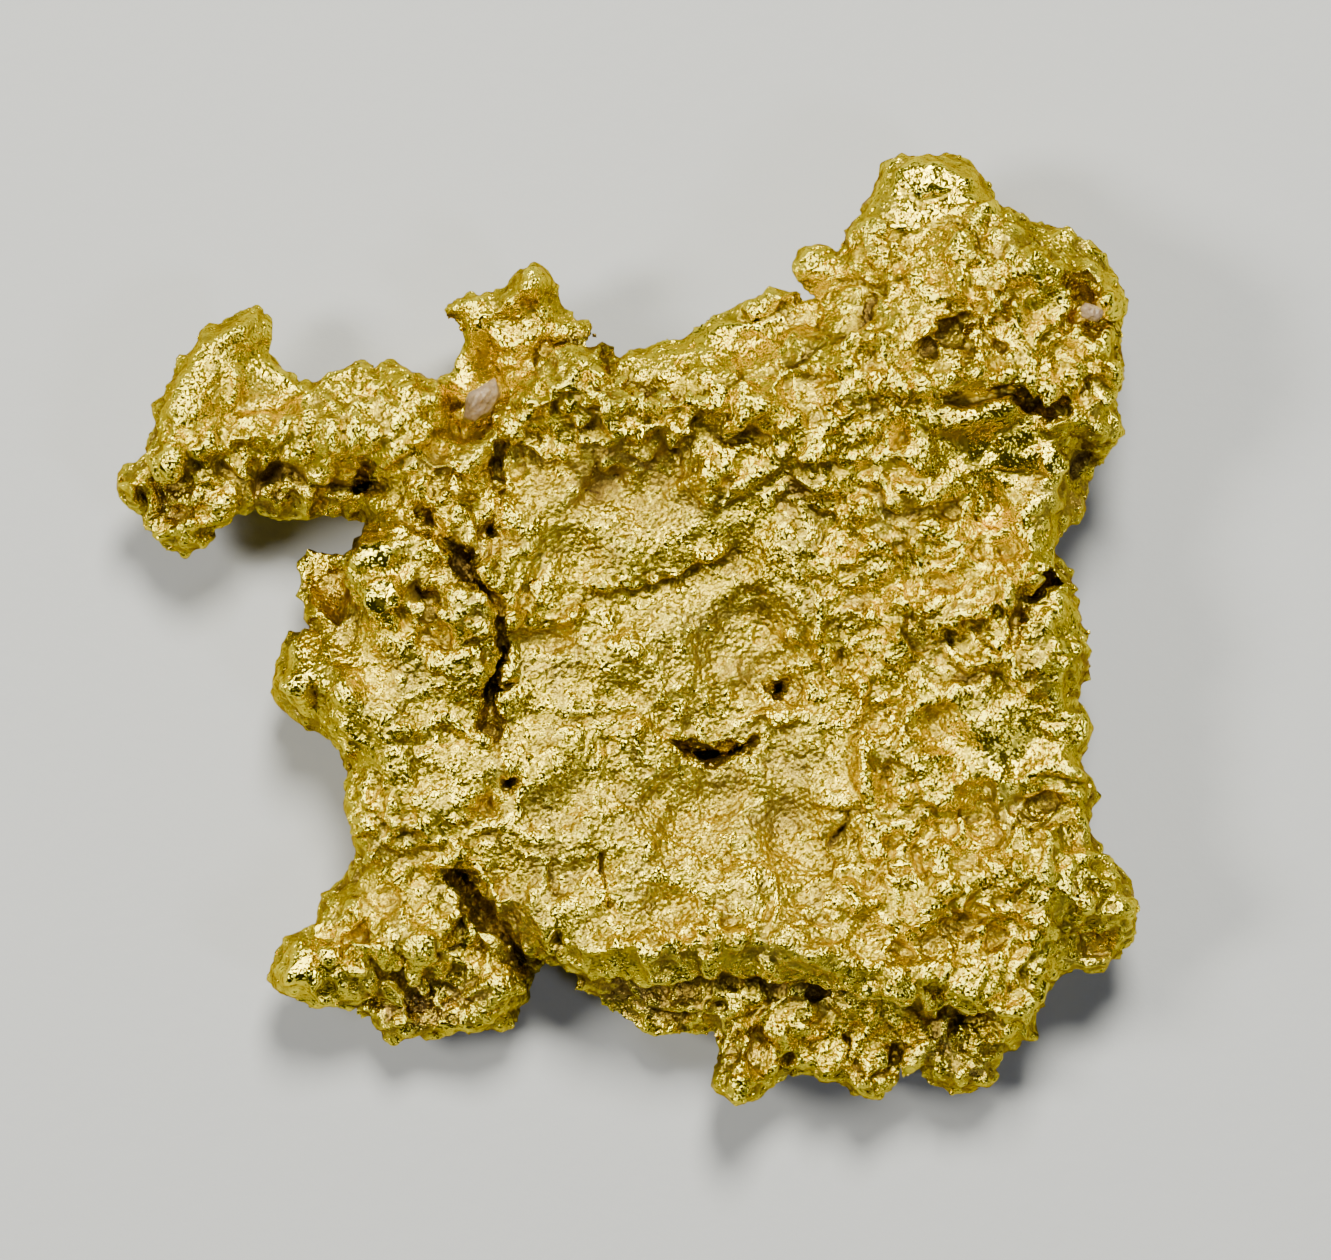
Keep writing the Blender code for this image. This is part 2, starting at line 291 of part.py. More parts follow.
def blend_levels(points, levels):
    """Level at each point, as the mean of the given levels, the nearer ones counting for more."""
    table = np.asarray(levels, float)
    gap = np.linalg.norm(points[:, None, :] - table[None, :, :2], axis=2) / table[:, 2]
    weight = np.exp(-gap**2) + 1e-3 / (1 + gap**4)
    return (weight * table[:, 3]).sum(1) / weight.sum(1)


def dome(points, x, y, along, across, turn, rise):
    """A rounded lump on an oval foot."""
    c, s = math.cos(math.radians(turn)), math.sin(math.radians(turn))
    dx, dy = points[:, 0] - x, points[:, 1] - y
    reach = ((dx * c + dy * s) / along) ** 2 + ((dy * c - dx * s) / across) ** 2
    return rise * np.clip(1 - reach, 0, 1) ** 0.8


def crest(points, line, rise, left, right):
    """A ridge along a line, with its own reach on each side."""
    distance, past = distance_to_line(points, line)
    reach = np.abs(distance) / np.where(distance < 0, left, right)
    return rise * np.clip(1 - reach, 0, 1) ** 1.2 * np.exp(-((past / 0.2) ** 2))


def ledge(points, line, drop, reach):
    """The ground falls away on the right of a line and comes back up beyond its reach."""
    distance, past = distance_to_line(points, line)
    edge = np.clip(distance / 0.12 + 0.5, 0, 1)
    return -drop * edge * np.exp(-((np.maximum(distance, 0) / reach) ** 2)) * np.exp(-((past / 0.3) ** 2))


def roughness(points, size, seed):
    """Smooth random rise and fall of about one, with waves of the given size."""
    return np.array([noise.noise(Vector((x / size, y / size, seed))) for x, y in points])


def wander(points):
    """Small sideways shift that makes every drawn line run unevenly."""
    return 0.24 * np.array([noise.noise_vector(Vector((x / 0.8, y / 0.8, 50.0)))[:2] for x, y in points])


def wrinkles(points):
    """Narrow crests of about one, with rounded hollows between them."""
    sharp = 1 - 2.2 * np.abs(roughness(points, 0.75, 12.5))
    return sharp + 0.5 * roughness(points, 0.5, 17.1)


def face_level(points):
    seats = [grain_pocket(points, grain) for grain in GRAINS.values()]
    level = blend_levels(points, FACE_LEVELS) + blend_levels(points, CRUMPLES) * wrinkles(points)
    points = points + wander(points)
    for place in LEDGES:
        level += ledge(points, *place)
    for place in RIDGES:
        level += crest(points, *place)
    for place in LUMPS:
        level += dome(points, *place)
    depth_share = np.clip(0.75 + 1.1 * roughness(points, 0.7, 40.2), 0.2, 1.2)
    for line, depth, left, right in FURROWS:
        level += depth_share * crest(points, line, -depth, left, right)
    for x, y, along, across, turn, depth in PITS:
        level -= dome(points, x, y, along, across, turn, depth)
    level += 0.16 * roughness(points, 0.9, 3.1) + 0.09 * roughness(points, 0.4, 8.7)
    return np.min([level, *seats], axis=0)


def back_level(points):
    level = blend_levels(points, BACK_LEVELS)
    level += 0.45 * roughness(points, 1.6, 21.3) + 0.22 * roughness(points, 0.8, 30.9)
    return np.maximum(level, 0)


# Bits of quartz: place, half lengths along, across and up, turn in degrees, level of the middle, seed
GRAINS = {
    "quartz_grain": (9.62, 7.98, 0.55, 0.30, 0.34, -52, 2.12, 4.0),
    "quartz_chip": (21.78, 6.26, 0.26, 0.19, 0.20, 10, 3.72, 9.0),
}


def grain_pocket(points, grain):
    """Level that the gold may reach under and round a bit of quartz."""
    x, y, along, across, up, turn, level, _ = grain
    grow = GRAIN_GAP
    hollow = dome(points, x, y, 2.0 * along + grow, 2.0 * across + grow, turn, 1.0)
    floor = level - up - 2 * grow
    return np.where(hollow > 0.65, floor, np.where(hollow > 0, floor + 3.2 * (0.65 - hollow), 99.0))


def smooth_loop(points, step):
    """A smooth closed curve through the points, cut into even steps."""
    p = np.asarray(points, float)
    before, after, last = np.roll(p, 1, 0), np.roll(p, -1, 0), np.roll(p, -2, 0)
    fine = []
    for t in np.linspace(0, 1, 12, endpoint=False):
        fine.append(0.5 * (2 * p + (after - before) * t + (2 * before - 5 * p + 4 * after - last) * t**2
                           + (3 * p - before - 3 * after + last) * t**3))
    fine = np.stack(fine, 1).reshape(-1, 2)
    closed = np.vstack([fine, fine[:1]])
    run = np.concatenate([[0], np.cumsum(np.linalg.norm(np.diff(closed, axis=0), axis=1))])
    count = max(6, round(run[-1] / step))
    places = np.linspace(0, run[-1], count, endpoint=False)
    return np.stack([np.interp(places, run, closed[:, i]) for i in (0, 1)], 1)


def inner_ring(loop, depth):
    """The loop's points moved inwards by depth, for an outline that runs clockwise on the sheet."""
    ways = np.roll(loop, -1, 0) - np.roll(loop, 1, 0)
    ways /= np.linalg.norm(ways, axis=1)[:, None]
    return loop + depth * np.stack([-ways[:, 1], ways[:, 0]], 1)


def points_beside_line(line, step, left, right):
    """Even points along a line and along both edges of the form that it carries."""
    line = np.asarray(line, float)
    run = np.concatenate([[0], np.cumsum(np.linalg.norm(np.diff(line, axis=0), axis=1))])
    places = np.linspace(0, run[-1], max(2, round(run[-1] / step)))
    middle = np.stack([np.interp(places, run, line[:, i]) for i in (0, 1)], 1)
    ways = np.gradient(middle, axis=0)
    ways /= np.linalg.norm(ways, axis=1)[:, None]
    across = np.stack([-ways[:, 1], ways[:, 0]], 1)
    return np.vstack([middle, middle - left * across, middle + right * across])


def face_guides():
    """Places where the face needs a point, so that its sharp forms keep their edges."""
    guides = []
    for line, _, left, right in FURROWS:
        guides.append(points_beside_line(line, 0.26, left, right))
    for line, _, _ in LEDGES:
        guides.append(points_beside_line(line, 0.30, 0.08, 0.08))
    for line, _, left, right in RIDGES:
        guides.append(points_beside_line(line, 0.32, left, right))
    guides.append(np.array([place[:2] for place in PITS + LUMPS]))
    guides = np.vstack(guides)
    return guides - wander(guides)


def even_grid(step):
    """Rows of points in a triangular pattern over the whole sheet."""
    rows = []
    for i, y in enumerate(np.arange(2.5, 22.6, step * math.sqrt(0.75))):
        x = np.arange(2.0, 23.2, step) + (step / 2 if i % 2 else 0)
        rows.append(np.stack([x, np.full_like(x, y)], 1))
    return np.vstack(rows)


def rim_distances(points, loops):
    """Distance to the outer edge and to the nearest hole."""
    outer = distance_to_loop(points, loops[0])
    hole = np.min([distance_to_loop(points, loop) for loop in loops[1:]], axis=0)
    return outer, hole


def in_leaf(points, loops):
    inside = inside_loop(points, loops[0])
    for hole in loops[1:]:
        inside &= ~inside_loop(points, hole)
    return inside


def spread_points(loops, candidates):
    """Keeps the candidates that lie in the leaf and stand clear of its edges and of each other."""
    kept = np.vstack(loops)
    edge_count = len(kept)
    for points, spacing, clear in candidates:
        outer, hole = rim_distances(points, loops)
        points = points[in_leaf(points, loops) & (outer > clear) & (hole > 0.08)]
        for point in points:
            if ((kept - point) ** 2).sum(1).min() > spacing**2:
                kept = np.vstack([kept, point])
    return kept[edge_count:]


def triangles_between(loops, inner):
    """Triangles over the leaf, as indices into the loops' points followed by the inner ones."""
    points = np.vstack([*loops, inner])
    edges, start = [], 0
    for loop in loops:
        count = len(loop)
        edges += [(start + i, start + (i + 1) % count) for i in range(count)]
        start += count
    _, _, faces, origins, _, _ = delaunay_2d_cdt([Vector(p) for p in points], edges, [], 0, 1e-6, True)
    index = [origin[0] for origin in origins]
    triangles = np.array([[index[v] for v in face] for face in faces])
    middles = points[triangles].mean(1)
    return triangles[in_leaf(middles, loops)]


def rounded_share(outer, hole):
    """How much of its full thickness the leaf has at these distances from its edges."""
    share = np.clip(outer / RIM_ROUND, 0, 1)
    notch = np.clip(hole / RIM_NOTCH, 0, 1)
    return np.sqrt(1 - (1 - share) ** 2) * (0.25 + 0.75 * np.sqrt(1 - (1 - notch) ** 2))


def surface_level(points, loops, side):
    """Level of the face (side 1) or of the underside (side -1), thinned towards every edge."""
    face, back = face_level(points), back_level(points)
    back = np.minimum(back, np.maximum(face - THINNEST, 0))
    face = np.maximum(face, back + THINNEST)
    middle = 0.5 * (face + back)
    share = rounded_share(*rim_distances(points, loops))
    return np.maximum(middle + share * side * 0.5 * (face - back), 0)


def edge_level(points):
    """Level of the leaf's outermost line, midway between face and underside."""
    face, back = face_level(points), back_level(points)
    back = np.minimum(back, np.maximum(face - THINNEST, 0))
    return 0.5 * (np.maximum(face, back + THINNEST) + back)


def warp(points):
    """Moves every point a little to and fro, so that ledges overhang and edges wander."""
    moved = points.copy()
    near = np.min([np.linalg.norm(points[:, :2] - grain[:2], axis=1) for grain in GRAINS.values()], axis=0)
    strength = 0.12 * np.clip((near - 0.8) / 0.6, 0, 1)
    for i, point in enumerate(points):
        shift = noise.noise_vector(Vector(point) / 1.1 + Vector((5.0, 2.0, 9.0)))
        moved[i] += strength[i] * np.array(shift)
    keep = points[:, 2] < 0.02
    moved[:, 2] = np.where(keep, points[:, 2], np.maximum(moved[:, 2], 0.0))
    return moved


def to_frame(points):
    """Sheet millimetres to the part's own frame: X to the right, Y up the sheet, both from its middle."""
    placed = points.copy()
    placed[:, 0] = points[:, 0] - SHEET_CENTRE[0]
    placed[:, 1] = SHEET_CENTRE[1] - points[:, 1]
    return placed


def fit_to_size(points):
    """Stretches the points slightly, so that width and depth are the driving dimensions and X and Y are centred."""
    low, high = points.min(0), points.max(0)
    scale = np.array([WIDTH, DEPTH, 1.0]) / np.array([high[0] - low[0], high[1] - low[1], 1.0])
    shift = np.array([(low[0] + high[0]) / 2, (low[1] + high[1]) / 2, 0.0])
    return (points - shift) * scale


def material(name, colour, metallic, rough):
    made = bpy.data.materials.new(name)
    made.use_nodes = True
    shader = made.node_tree.nodes["Principled BSDF"]
    shader.inputs["Base Color"].default_value = (*colour, 1.0)
    shader.inputs["Metallic"].default_value = metallic
    shader.inputs["Roughness"].default_value = rough
    return made


def mesh_object(name, points, triangles, finish):
    mesh = bpy.data.meshes.new(name)
    mesh.from_pydata([tuple(p * MM) for p in points], [], [tuple(int(i) for i in t) for t in triangles])
    mesh.materials.append(finish)
    mesh.shade_smooth()
    mesh.set_sharp_from_angle(angle=math.radians(50))
    made = bpy.data.objects.new(name, mesh)
    bpy.context.scene.collection.objects.link(made)
    return made


def make_gold(finish):
    """The gold body: one closed skin made of a face and an underside that meet along the outline and the holes."""
    outline = smooth_loop(OUTLINE, RIM_STEP)
    loops = [outline] + [smooth_loop(hole, 0.15) for hole in HOLES.values()]
    rings = [inner_ring(outline, 0.14), inner_ring(outline, 0.40)]
    hole_rings = np.vstack([inner_ring(loop, -0.16) for loop in loops[1:]])
    face_points = spread_points(loops, [(rings[0], 0.13, 0.10), (hole_rings, 0.11, 0.10), (face_guides(), 0.15, 0.18),
                                        (rings[1], 0.20, 0.30), (even_grid(FACE_STEP), 0.24, 0.40)])
    back_points = spread_points(loops, [(rings[0], 0.16, 0.10), (hole_rings, 0.12, 0.10), (rings[1], 0.26, 0.30),
                                        (even_grid(BACK_STEP), 0.36, 0.45)])
    edge = np.vstack(loops)
    levels = [edge_level(edge), surface_level(face_points, loops, 1), surface_level(back_points, loops, -1)]
    flat = np.vstack([edge, face_points, back_points])
    points = np.column_stack([flat, np.concatenate(levels)])
    face = triangles_between(loops, face_points)
    back = triangles_between(loops, back_points)
    back = np.where(back >= len(edge), back + len(face_points), back)[:, ::-1]
    points = fit_to_size(to_frame(warp(points)))
    made = mesh_object("gold_nugget", points, np.vstack([face, back]), finish)
    settle_normals(made)
    return made


def settle_normals(made):
    mesh = bmesh.new()
    mesh.from_mesh(made.data)
    bmesh.ops.recalc_face_normals(mesh, faces=mesh.faces)
    mesh.to_mesh(made.data)
    mesh.free()


def make_grain(name, grain, finish):
    """An angular bit of quartz: an icosphere with its corners pushed in and out."""
    x, y, along, across, up, turn, level, seed = grain
    mesh = bmesh.new()
    bmesh.ops.create_icosphere(mesh, subdivisions=2, radius=1.0)
    for vertex in mesh.verts:
        direction = vertex.co.normalized()
        vertex.co = direction * (0.92 + 0.16 * noise.noise(direction * 1.7 + Vector((seed, 0, 0))))
    place = Matrix.Translation((x - SHEET_CENTRE[0], SHEET_CENTRE[1] - y, level))
    place @= Matrix.Rotation(math.radians(-turn), 4, "Z") @ Matrix.Diagonal((along, across, up, 1))
    bmesh.ops.transform(mesh, matrix=Matrix.Scale(MM, 4) @ place, verts=mesh.verts)
    data = bpy.data.meshes.new(name)
    mesh.to_mesh(data)
    mesh.free()
    data.materials.append(finish)
    made = bpy.data.objects.new(name, data)
    bpy.context.scene.collection.objects.link(made)
    return made


def main():
    for old in list(bpy.data.objects):
        bpy.data.objects.remove(old)
    gold = material("native_gold", (0.86, 0.62, 0.20), 1.0, 0.34)
    quartz = material("quartz", (0.74, 0.62, 0.55), 0.0, 0.35)
    body = make_gold(gold)
    for name, grain in GRAINS.items():
        make_grain(name, grain, quartz).parent = body


main()
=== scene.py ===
import math

import bmesh
import bpy
import numpy as np
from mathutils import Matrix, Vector, noise


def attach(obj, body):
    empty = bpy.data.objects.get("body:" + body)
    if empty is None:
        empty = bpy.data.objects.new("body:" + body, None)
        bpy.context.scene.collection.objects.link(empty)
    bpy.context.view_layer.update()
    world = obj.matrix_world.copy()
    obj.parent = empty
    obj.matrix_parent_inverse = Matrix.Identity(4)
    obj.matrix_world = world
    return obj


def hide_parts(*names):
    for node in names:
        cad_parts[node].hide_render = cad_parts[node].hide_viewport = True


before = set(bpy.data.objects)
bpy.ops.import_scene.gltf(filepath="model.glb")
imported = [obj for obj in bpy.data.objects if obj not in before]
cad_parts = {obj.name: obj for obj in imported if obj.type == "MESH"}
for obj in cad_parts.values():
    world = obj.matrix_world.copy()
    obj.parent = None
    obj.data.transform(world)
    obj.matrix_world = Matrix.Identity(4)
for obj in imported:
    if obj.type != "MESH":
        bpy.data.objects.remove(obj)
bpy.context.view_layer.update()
mm = 0.001
print("frame loaded:", len(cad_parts), "nodes")


# Places on the nugget are in millimetres on a sheet over its face: first to the right, then down.
# The solid's surface drifts and its drawn lines sway a little, and the finer lines here follow them.

sheetCentre = (12.54, 12.55)

solidSway = {
    "seed": 3,
    "drift": 0.12,             # mm that the surface is pushed about
    "driftSize": 1.1,          # mm across one push
    "driftStart": (5.0, 2.0, 9.0),
    "line": 0.24,              # mm that a drawn line swings
    "lineSize": 0.8,           # mm along one swing
    "lineLevel": 50.0,
}
noise.seed_set(solidSway["seed"])


def fieldNoise(points, size, seed):
    scaled = np.asarray(points) / size
    if scaled.shape[1] == 2:
        return np.array([noise.noise(Vector((x, y, seed))) for x, y in scaled.tolist()])
    return np.array([noise.noise(Vector((x + seed, y, z))) for x, y, z in scaled.tolist()])


def fieldVector(points, size, seed):
    scaled = np.asarray(points) / size + np.array([seed, 0.0, 0.0])
    return np.array([noise.noise_vector(Vector(p)) for p in scaled.tolist()])


def toSheet(points):
    # undoes the drift of the solid's surface, then lets the drawn lines sway as they do on it
    sheet = np.column_stack([points[:, 0] + sheetCentre[0], sheetCentre[1] - points[:, 1], points[:, 2]])
    pushed = sheet / solidSway["driftSize"] + np.array(solidSway["driftStart"])
    drift = np.array([noise.noise_vector(Vector(p)) for p in pushed.tolist()])
    flat = (sheet - solidSway["drift"] * drift)[:, :2]
    level, swung = solidSway["lineLevel"], flat / solidSway["lineSize"]
    sway = np.array([noise.noise_vector(Vector((x, y, level)))[:2] for x, y in swung.tolist()])
    return flat + solidSway["line"] * sway


def distanceToLine(points, line):
    line = np.asarray(line, float)
    best = np.full(len(points), 1e9)
    for start, end in zip(line[:-1], line[1:]):
        way = end - start
        along = np.clip(((points - start) @ way) / (way @ way), 0, 1)
        best = np.minimum(best, np.linalg.norm(points - start - along[:, None] * way, axis=1))
    return best


def blendMap(points, table, floor):
    # weighted mean of the values written on the sheet; floor is the value far from all of them
    floorWeight = 0.02
    top = np.zeros(len(points))
    total = np.full(len(points), floorWeight)
    for x, y, reach, value in table:
        weight = np.exp(-((points[:, 0] - x) ** 2 + (points[:, 1] - y) ** 2) / reach**2)
        top += weight * value
        total += weight
    return (top + floorWeight * floor) / total


def spots(points, table):
    # sum of soft round spots: place, reach across and down, strength
    total = np.zeros(len(points))
    for x, y, reachX, reachY, value in table:
        total += value * np.exp(-(((points[:, 0] - x) / reachX) ** 2) - ((points[:, 1] - y) / reachY) ** 2)
    return total


# Relief of the gold

goldForm = {
    "voxel": 0.062,            # mm between points of the fine skin
    "faces": 196000,           # triangles kept of it
    "crumpleHeight": 0.52,     # share of the written wrinkle height that is added here
    "wrinkleSize": 0.52,       # mm across one wrinkle
    "farCrumple": 0.15,        # wrinkle height away from the places in crumpleMap
    "sideCrumple": 0.26,       # wrinkle height on the steep sides
    "fineHeight": 0.22,        # share of the wrinkle height in the finest unevenness
    "drawnShare": 1.00,        # strength of the drawn creases and crests
    "topRoom": 0.11,           # mm that the skin may stand above the solid
    "swell": 0.30,             # mm, height of the broad swells between the wrinkles
    "softening": 1,            # rounds that take the sharpness off the finest points
    "calming": 0.8,            # how far the smooth places are kept free of wrinkles
    "grainHeight": 0.020,      # mm
    "smoothHeight": 0.05,      # mm, slow unevenness of the smooth places
    "backHeight": 0.085,       # mm
    "edgeRoughness": 0.16,     # mm in and out along the rim
}

# Height of the crumpled wrinkles: place, how far it reaches, height
crumpleMap = [
    (12.2, 8.6, 1.0, 0.34), (14.6, 8.6, 1.0, 0.30), (16.6, 8.2, 1.0, 0.30), (12.4, 10.3, 1.1, 0.02),
    (14.0, 10.8, 1.0, 0.05), (12.6, 13.6, 1.6, 0.12), (15.4, 13.8, 1.4, 0.18), (15.6, 16.4, 1.2, 0.08),
    (12.6, 17.0, 1.2, 0.14), (18.8, 11.0, 1.6, 0.28), (18.8, 13.6, 1.3, 0.30), (20.0, 14.8, 0.8, 0.08),
    (19.4, 17.6, 1.8, 0.32), (15.2, 18.8, 1.4, 0.24), (16.0, 20.8, 1.6, 0.34), (19.6, 20.8, 1.2, 0.34),
    (20.0, 6.4, 1.6, 0.34), (18.4, 3.6, 0.8, 0.06), (19.4, 8.2, 0.6, 0.05), (20.0, 9.6, 0.8, 0.10),
    (8.6, 14.8, 1.8, 0.14), (9.0, 12.0, 1.0, 0.26), (7.2, 16.8, 0.8, 0.26), (7.8, 19.6, 1.2, 0.36),
    (5.0, 8.0, 1.0, 0.05), (7.4, 8.2, 1.0, 0.24), (4.0, 10.2, 1.0, 0.32), (10.4, 6.4, 0.9, 0.14),
    (14.6, 6.8, 1.2, 0.12), (6.4, 13.0, 0.8, 0.08), (22.2, 18.4, 0.8, 0.20),
]

# Melted-looking smooth faces: place, reach across and down, strength
smoothSpots = [
    (5.3, 7.6, 0.8, 0.7, 0.45), (9.5, 6.9, 0.5, 0.8, 0.9), (18.7, 3.7, 0.9, 0.8, 0.9),
    (14.9, 6.6, 1.4, 0.5, 0.6), (19.9, 9.1, 1.0, 0.5, 1.0), (20.0, 15.0, 0.8, 0.7, 0.9),
    (5.9, 19.6, 0.7, 0.4, 0.9), (6.1, 13.4, 0.7, 0.6, 0.6), (20.0, 10.1, 0.5, 0.5, 0.9),
    (21.2, 19.6, 0.5, 0.7, 0.7), (7.6, 11.0, 0.4, 0.4, 0.9), (7.7, 11.9, 0.5, 0.4, 0.9),
    (22.2, 6.0, 0.4, 0.6, 0.7), (19.8, 8.1, 1.2, 0.3, 0.8), (9.2, 8.2, 0.5, 0.6, 0.7),
]

# Matte granular ground: place, reach across and down, strength
grainSpots = [
    (12.4, 10.2, 2.0, 1.0, 1.0), (13.8, 13.2, 2.6, 1.8, 1.0), (15.4, 16.2, 2.0, 1.4, 1.0),
    (12.2, 16.6, 1.8, 1.6, 0.8), (8.6, 15.0, 1.4, 1.6, 0.6), (17.0, 18.4, 2.2, 1.2, 0.5),
    (13.4, 18.4, 2.0, 0.8, 0.6),
]

# Narrow creases, with painted shade in them: line, depth, half width
creases = [
    ([(10.7, 7.06), (11.2, 6.82), (11.7, 6.86), (12.2, 7.30), (13.0, 7.74), (14.0, 7.78), (15.2, 7.26),
      (16.0, 7.22), (16.6, 6.70), (17.0, 6.20), (17.5, 5.95)], 0.26, 0.15),
    ([(14.7, 6.28), (15.4, 6.22), (16.0, 6.34)], 0.12, 0.07),
    ([(11.9, 7.92), (11.35, 8.00), (11.12, 8.36), (11.36, 8.68), (11.90, 8.66)], 0.14, 0.08),
    ([(10.16, 8.85), (9.92, 9.50), (9.85, 10.30), (10.08, 10.66)], 0.10, 0.11),
    ([(8.65, 10.30), (9.10, 10.95), (9.60, 11.55), (9.98, 11.95), (10.02, 12.90), (9.88, 13.70),
      (9.62, 14.25), (9.78, 14.58)], 0.14, 0.16),
    ([(9.10, 17.42), (9.55, 18.00), (9.95, 18.55), (10.30, 19.00), (10.70, 19.40)], 0.10, 0.18),
    ([(9.90, 13.80), (10.44, 13.76)], 0.45, 0.06),
    ([(11.2, 12.12), (11.8, 11.94), (13.0, 11.68), (13.7, 11.52), (14.7, 11.08)], 0.10, 0.12),
    ([(18.3, 8.00), (18.8, 8.00), (19.8, 7.96), (20.9, 8.16)], 0.14, 0.12),
    ([(18.3, 7.15), (18.8, 6.85), (19.1, 6.50)], 0.20, 0.10),
    ([(20.95, 11.50), (20.62, 12.00), (20.40, 12.35)], 0.30, 0.12),
    ([(12.14, 17.05), (12.02, 17.60), (12.18, 18.00)], 0.26, 0.07),
    ([(11.14, 18.60), (11.06, 19.10)], 0.22, 0.05),
    ([(16.98, 16.38), (16.88, 16.72)], 0.30, 0.06),
    ([(8.80, 19.24), (9.20, 18.80), (9.40, 18.50)], 0.25, 0.09),
    ([(13.8, 8.58), (14.5, 8.66), (15.3, 8.62)], 0.16, 0.10),
    ([(4.0, 9.20), (5.2, 9.50), (6.4, 9.62), (7.8, 9.90)], 0.16, 0.16),
    ([(11.2, 19.50), (12.6, 19.80), (14.0, 19.66), (15.4, 19.74), (17.0, 19.96), (18.6, 20.30),
      (20.0, 20.50)], 0.26, 0.16),
    ([(16.7, 16.22), (17.8, 16.34), (19.0, 16.24), (20.4, 16.40), (21.5, 16.20)], 0.14, 0.09),
    ([(12.9, 9.30), (13.3, 9.22), (13.8, 9.00)], 0.08, 0.10),
    ([(10.4, 9.05), (11.0, 9.12)], 0.12, 0.12),
    ([(17.9, 12.3), (18.6, 12.9), (19.2, 12.7)], 0.20, 0.11),
    ([(18.2, 13.2), (18.8, 13.6), (19.5, 13.4), (20.1, 13.5)], 0.18, 0.09),
    ([(16.6, 12.2), (16.9, 12.9), (16.8, 13.6)], 0.14, 0.09),
    ([(17.5, 9.9), (18.3, 10.3), (19.1, 10.2)], 0.16, 0.10),
    ([(13.0, 20.2), (13.6, 20.3), (14.2, 20.1)], 0.22, 0.10),
    ([(16.9, 20.9), (17.2, 21.4), (17.9, 21.4), (18.1, 20.9)], 0.20, 0.08),
    ([(20.6, 19.6), (20.9, 18.9), (21.4, 18.5)], 0.22, 0.10),
    ([(18.05, 4.95), (18.00, 4.60), (18.5, 4.45), (19.3, 4.55), (19.6, 5.1)], 0.14, 0.06),
    ([(18.1, 3.9), (18.5, 4.1), (18.9, 3.85), (19.4, 3.9)], 0.10, 0.05),
    ([(17.0, 5.6), (17.5, 5.75), (18.2, 5.55)], 0.22, 0.10),
    ([(21.0, 15.45), (21.7, 15.60)], 0.16, 0.07),
    ([(20.7, 15.90), (21.3, 16.05)], 0.14, 0.07),
    ([(6.8, 10.9), (6.9, 11.6), (6.95, 12.3)], 0.20, 0.10),
    ([(10.6, 14.3), (11.3, 14.5), (12.0, 14.2), (12.8, 14.3)], 0.10, 0.08),
    ([(9.3, 16.8), (10.2, 16.6), (11.0, 17.0), (11.2, 17.8)], 0.14, 0.09),
    ([(20.0, 9.56), (20.7, 9.44)], 0.16, 0.08),
    ([(17.8, 3.90), (17.9, 3.50), (18.2, 3.20)], 0.10, 0.06),
    ([(15.8, 9.32), (16.9, 9.36), (18.0, 9.32)], 0.10, 0.12),
    ([(14.4, 6.34), (15.0, 6.36), (15.8, 6.16), (16.0, 5.96)], 0.12, 0.07),
]

# Places with many short curled wrinkles: place, reach across and down, direction in degrees,
# how many, height
curlPatches = [
    (12.0, 8.3, 1.2, 0.5, 80, 20, 0.16), (14.4, 8.3, 1.3, 0.4, 20, 16, 0.14),
    (16.8, 8.0, 0.9, 0.8, -35, 16, 0.15), (19.8, 5.9, 1.1, 0.9, 30, 26, 0.17),
    (21.6, 7.2, 0.7, 1.0, 75, 16, 0.16), (18.2, 10.8, 1.6, 0.9, -15, 26, 0.15),
    (19.8, 12.4, 1.2, 1.0, 40, 22, 0.16), (17.2, 13.2, 0.9, 1.2, 80, 16, 0.14),
    (21.4, 13.4, 0.5, 1.6, 70, 14, 0.16), (18.4, 17.6, 2.2, 1.2, 15, 40, 0.16),
    (21.2, 17.4, 1.0, 0.8, 25, 16, 0.16), (16.4, 20.8, 2.4, 0.7, 30, 30, 0.16),
    (13.6, 18.8, 1.8, 0.6, 5, 18, 0.13), (7.8, 19.4, 1.6, 1.0, -10, 26, 0.16),
    (7.8, 16.6, 1.0, 0.8, 60, 12, 0.14), (9.2, 12.0, 1.0, 1.0, 30, 18, 0.15),
    (4.6, 9.6, 1.8, 0.8, 15, 22, 0.16), (7.6, 8.3, 1.0, 0.7, 60, 14, 0.15),
    (10.6, 6.2, 0.8, 0.7, 30, 10, 0.13), (8.4, 14.6, 1.4, 1.4, 40, 12, 0.11),
    (13.4, 13.8, 2.2, 1.6, 20, 16, 0.09), (8.8, 9.8, 0.8, 0.6, -40, 12, 0.15),
    (3.8, 10.9, 0.6, 0.4, 0, 6, 0.15), (20.0, 20.2, 1.2, 0.8, -40, 14, 0.16),
]
